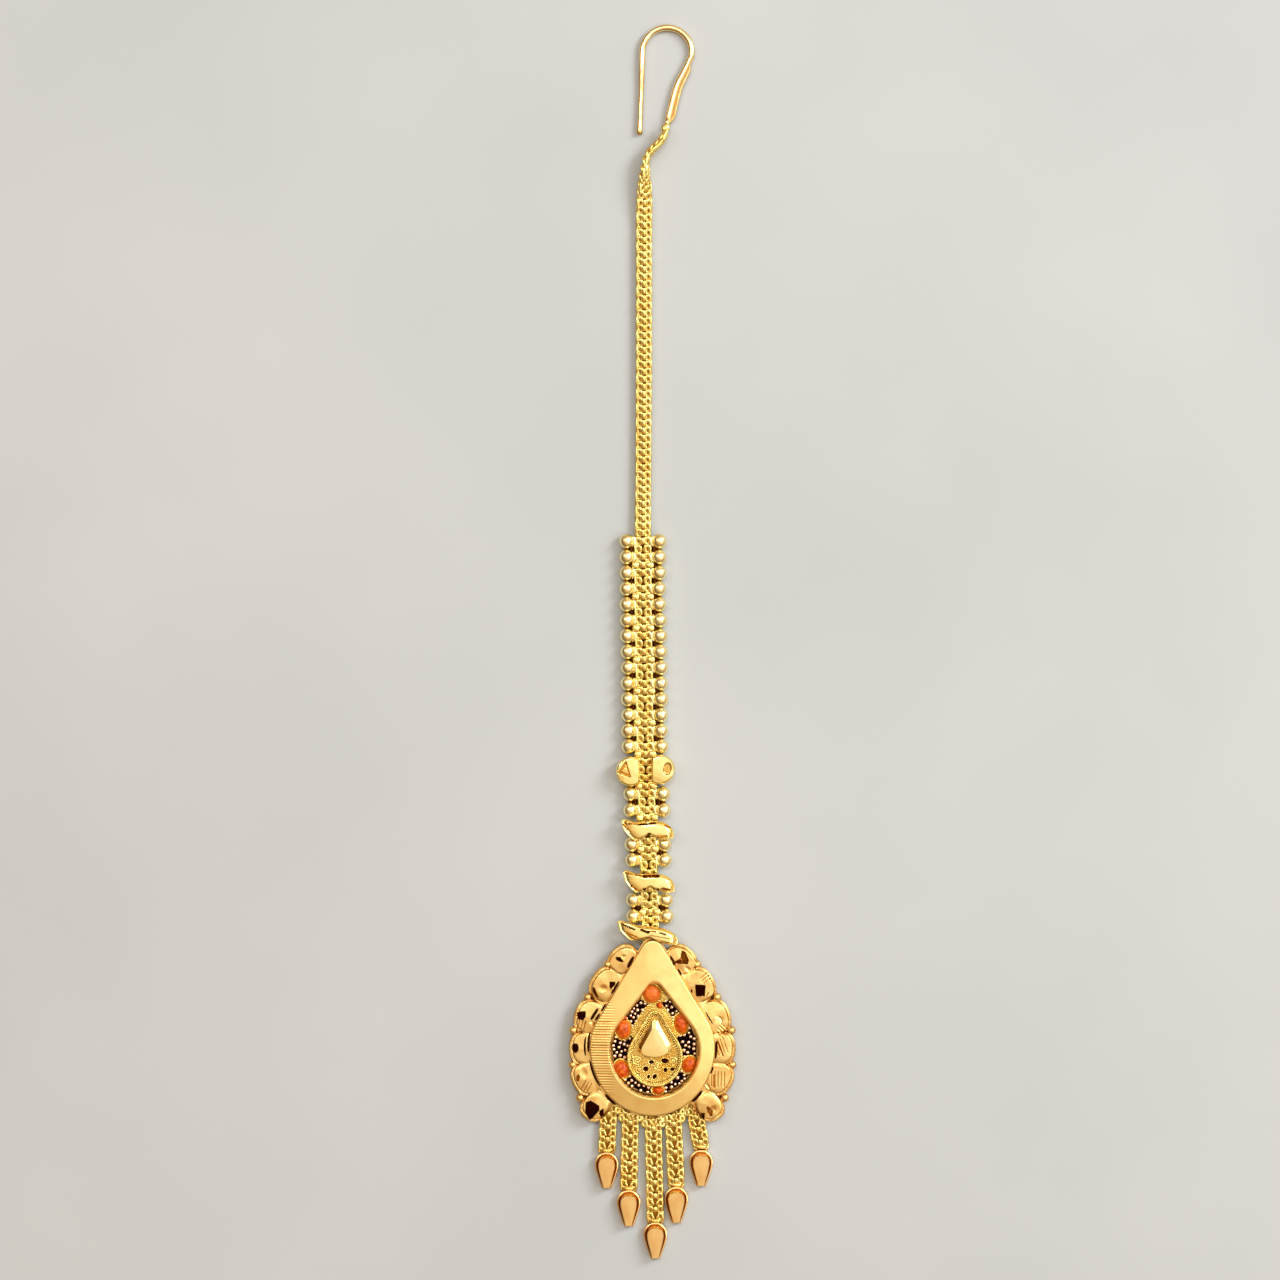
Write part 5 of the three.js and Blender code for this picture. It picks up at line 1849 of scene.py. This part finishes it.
# Jump rings at each chain's head, which reach its neighbours: how many fine steps below the
# chain's end they lie, and how many millimetres to the side. They lean by so many degrees a
# millimetre.
HEAD_LINK = {"wide": 1.0, "long": 1.2, "radius": 0.24}
HEAD_LINKS = [(16, -1.2), (16, 1.2), (34, -1.15), (34, 1.15), (30, 0.0)]
HEAD_LEAN = 10
HEAD_ABOVE = 0.25
# Each chain's top and bottom, from left to right.
FRINGE = [
    {"top": (-5.6, -8.0), "bottom": (-5.94, -14.5)},
    {"top": (-2.82, -9.0), "bottom": (-3.07, -19.45)},
    {"top": (0.08, -9.75), "bottom": (0.4, -23.65)},
    {"top": (2.65, -9.1), "bottom": (3.12, -19.0)},
    {"top": (5.3, -8.3), "bottom": (6.35, -14.05)},
]

head = oval_link(**HEAD_LINK)
for number, row in enumerate(FRINGE, start=1):
    top = np.array([row["top"][0], row["top"][1] + UNDER_FRAME, FRINGE_THICK / 2])
    bottom = np.array([*row["bottom"], FRINGE_THICK / 2])
    line = evenly(np.array([top, bottom]), spacing=FINE)
    length = np.linalg.norm(bottom - top)
    steps = round((length - HEAD_ROOM - FOOT_ROOM) / FRINGE_PITCH)
    places = np.linspace(HEAD_ROOM, length - FOOT_ROOM, steps + 1)
    links = lay_links(line, places, FRINGE_LINK, seed=20 + number)
    inside_core = painted_shade_core(line[FRINGE_CORE["points"]], FRINGE_CORE["half_wide"])
    inside_core.dark *= FRINGE_CORE["dark"]
    links += [inside_core, nugget(**END_CAP).moved(*line[-2])]
    for at, across in HEAD_LINKS:
        place = line[at] + np.array([across, 0, HEAD_ABOVE])
        links.append(head.turned("Y", HEAD_LEAN * across).moved(*place))
    make_piece(f"fringe_links_{number}", links, link_gold, "fringe_gold", f"fringe_chain_{number}")
    print("chain", number, "is", length.round(1), "mm long")

# %% [markdown]
# Each chain ends in a drop like a spearhead, stamped and then cut: a flat, narrowing facet inside
# a trench that is painted brown as shade, with a rolled lip round the whole and an arched shoulder.
# It is one loft, through outlines of the body and then of the facet, and the facet's rings are
# tilted.

# %% Drops
DROP_GAP = 0.2
FRINGE_WIDE = 2.2
# The outlines of the body and of the facet: half widths at distances below the drop's top.
DROP_OUTLINE = [(0.02, -0.1), (0.55, -0.02), (1.05, 0.3), (1.42, 0.85), (1.55, 1.5), (1.42, 2.3),
                (1.12, 3.25), (0.78, 4.2), (0.62, 4.62)]
FACET = [(0.02, 0.5), (0.45, 0.56), (0.85, 0.85), (1.04, 1.4), (1.0, 2.0), (0.78, 3.0),
         (0.52, 4.0), (0.42, 4.5)]
# The lip and the trench: millimetres inside the outline, height and how much painted shade they hold.
DROP_EDGE = [(0.1, 0.0, 0), (0, 0.12, 0), (0, 0.88, 0), (0.05, 1.02, 0), (0.17, 1.07, 0),
             (0.29, 1.0, 0.2), (0.35, 0.9, 0.6)]
# The facet: millimetres inside its outline, height and how much painted shade it holds.
FACET_EDGE = [(-0.05, 1.4, 0.6), (0, 1.56, 0.25), (0.06, 1.62, 0)]
# The facet leans to the lower left, by this rise per millimetre along x and along y, from this
# far below the drop's top. Its middle is a very flat crown.
FACET_SLOPE = 0.045
FACET_PIVOT = 2
CROWN_SHARES = (0.8, 0.55, 0.3, 0.05)
CROWN_RISE = 0.03
DROP_POINTS = 160


def mirrored(half_outline, count):
    """A closed outline, counter-clockwise, from half widths at distances below the top."""
    half = smooth_curve(half_outline, 0.05)
    return evenly(np.vstack([half * (-1, -1), half[::-1] * (1, -1)]), count=count, closed=True)


def drop(row):
    """The drop of one chain, hung just below the chain's end."""
    slant = abs((row["bottom"][0] - row["top"][0]) / (row["bottom"][1] - row["top"][1]))
    below = DROP_GAP + slant * FRINGE_WIDE / 2
    body, facet = mirrored(DROP_OUTLINE, DROP_POINTS), mirrored(FACET, DROP_POINTS)
    rows = [(body, *level) for level in DROP_EDGE] + [(facet, *level) for level in FACET_EDGE]
    rings = [flat_path(inset(outline, within), z) for outline, within, z, _ in rows]
    dark = [level for *_, level in rows] + [0.0] * len(CROWN_SHARES)
    last = rings[-1]
    middle = last.mean(0)
    rings += [middle + (last - middle) * share + np.array([0, 0, CROWN_RISE * (1 - share)])
              for share in CROWN_SHARES]
    for ring in rings[len(DROP_EDGE):]:
        ring[:, 2] += FACET_SLOPE * (ring[:, 0] + ring[:, 1] + FACET_PIVOT)
    shell = loft(rings)
    # The trench's painted shade is strongest beside the facet and fades on the shoulder above it.
    shade_fade = 0.25 + 0.75 * ease(-shell.points[:, 1], 0.5, 1.3)
    shell.dark = np.repeat(dark, DROP_POINTS) * shade_fade
    return shell.moved(row["bottom"][0], row["bottom"][1] - below)


for number, row in enumerate(FRINGE, start=1):
    make_piece(f"spear_drop_{number}", [drop(row)], drop_gold, "drop_gold", f"drop_{number}",
               smooth_below=30)
print("a drop is", DROP_OUTLINE[-1][1], "mm long")

# %% [markdown]
# ## Measuring up
#
# The triangles of all the pieces are added up.

# %% Sizes
print("triangles in all:", sum(made_pieces.values()))
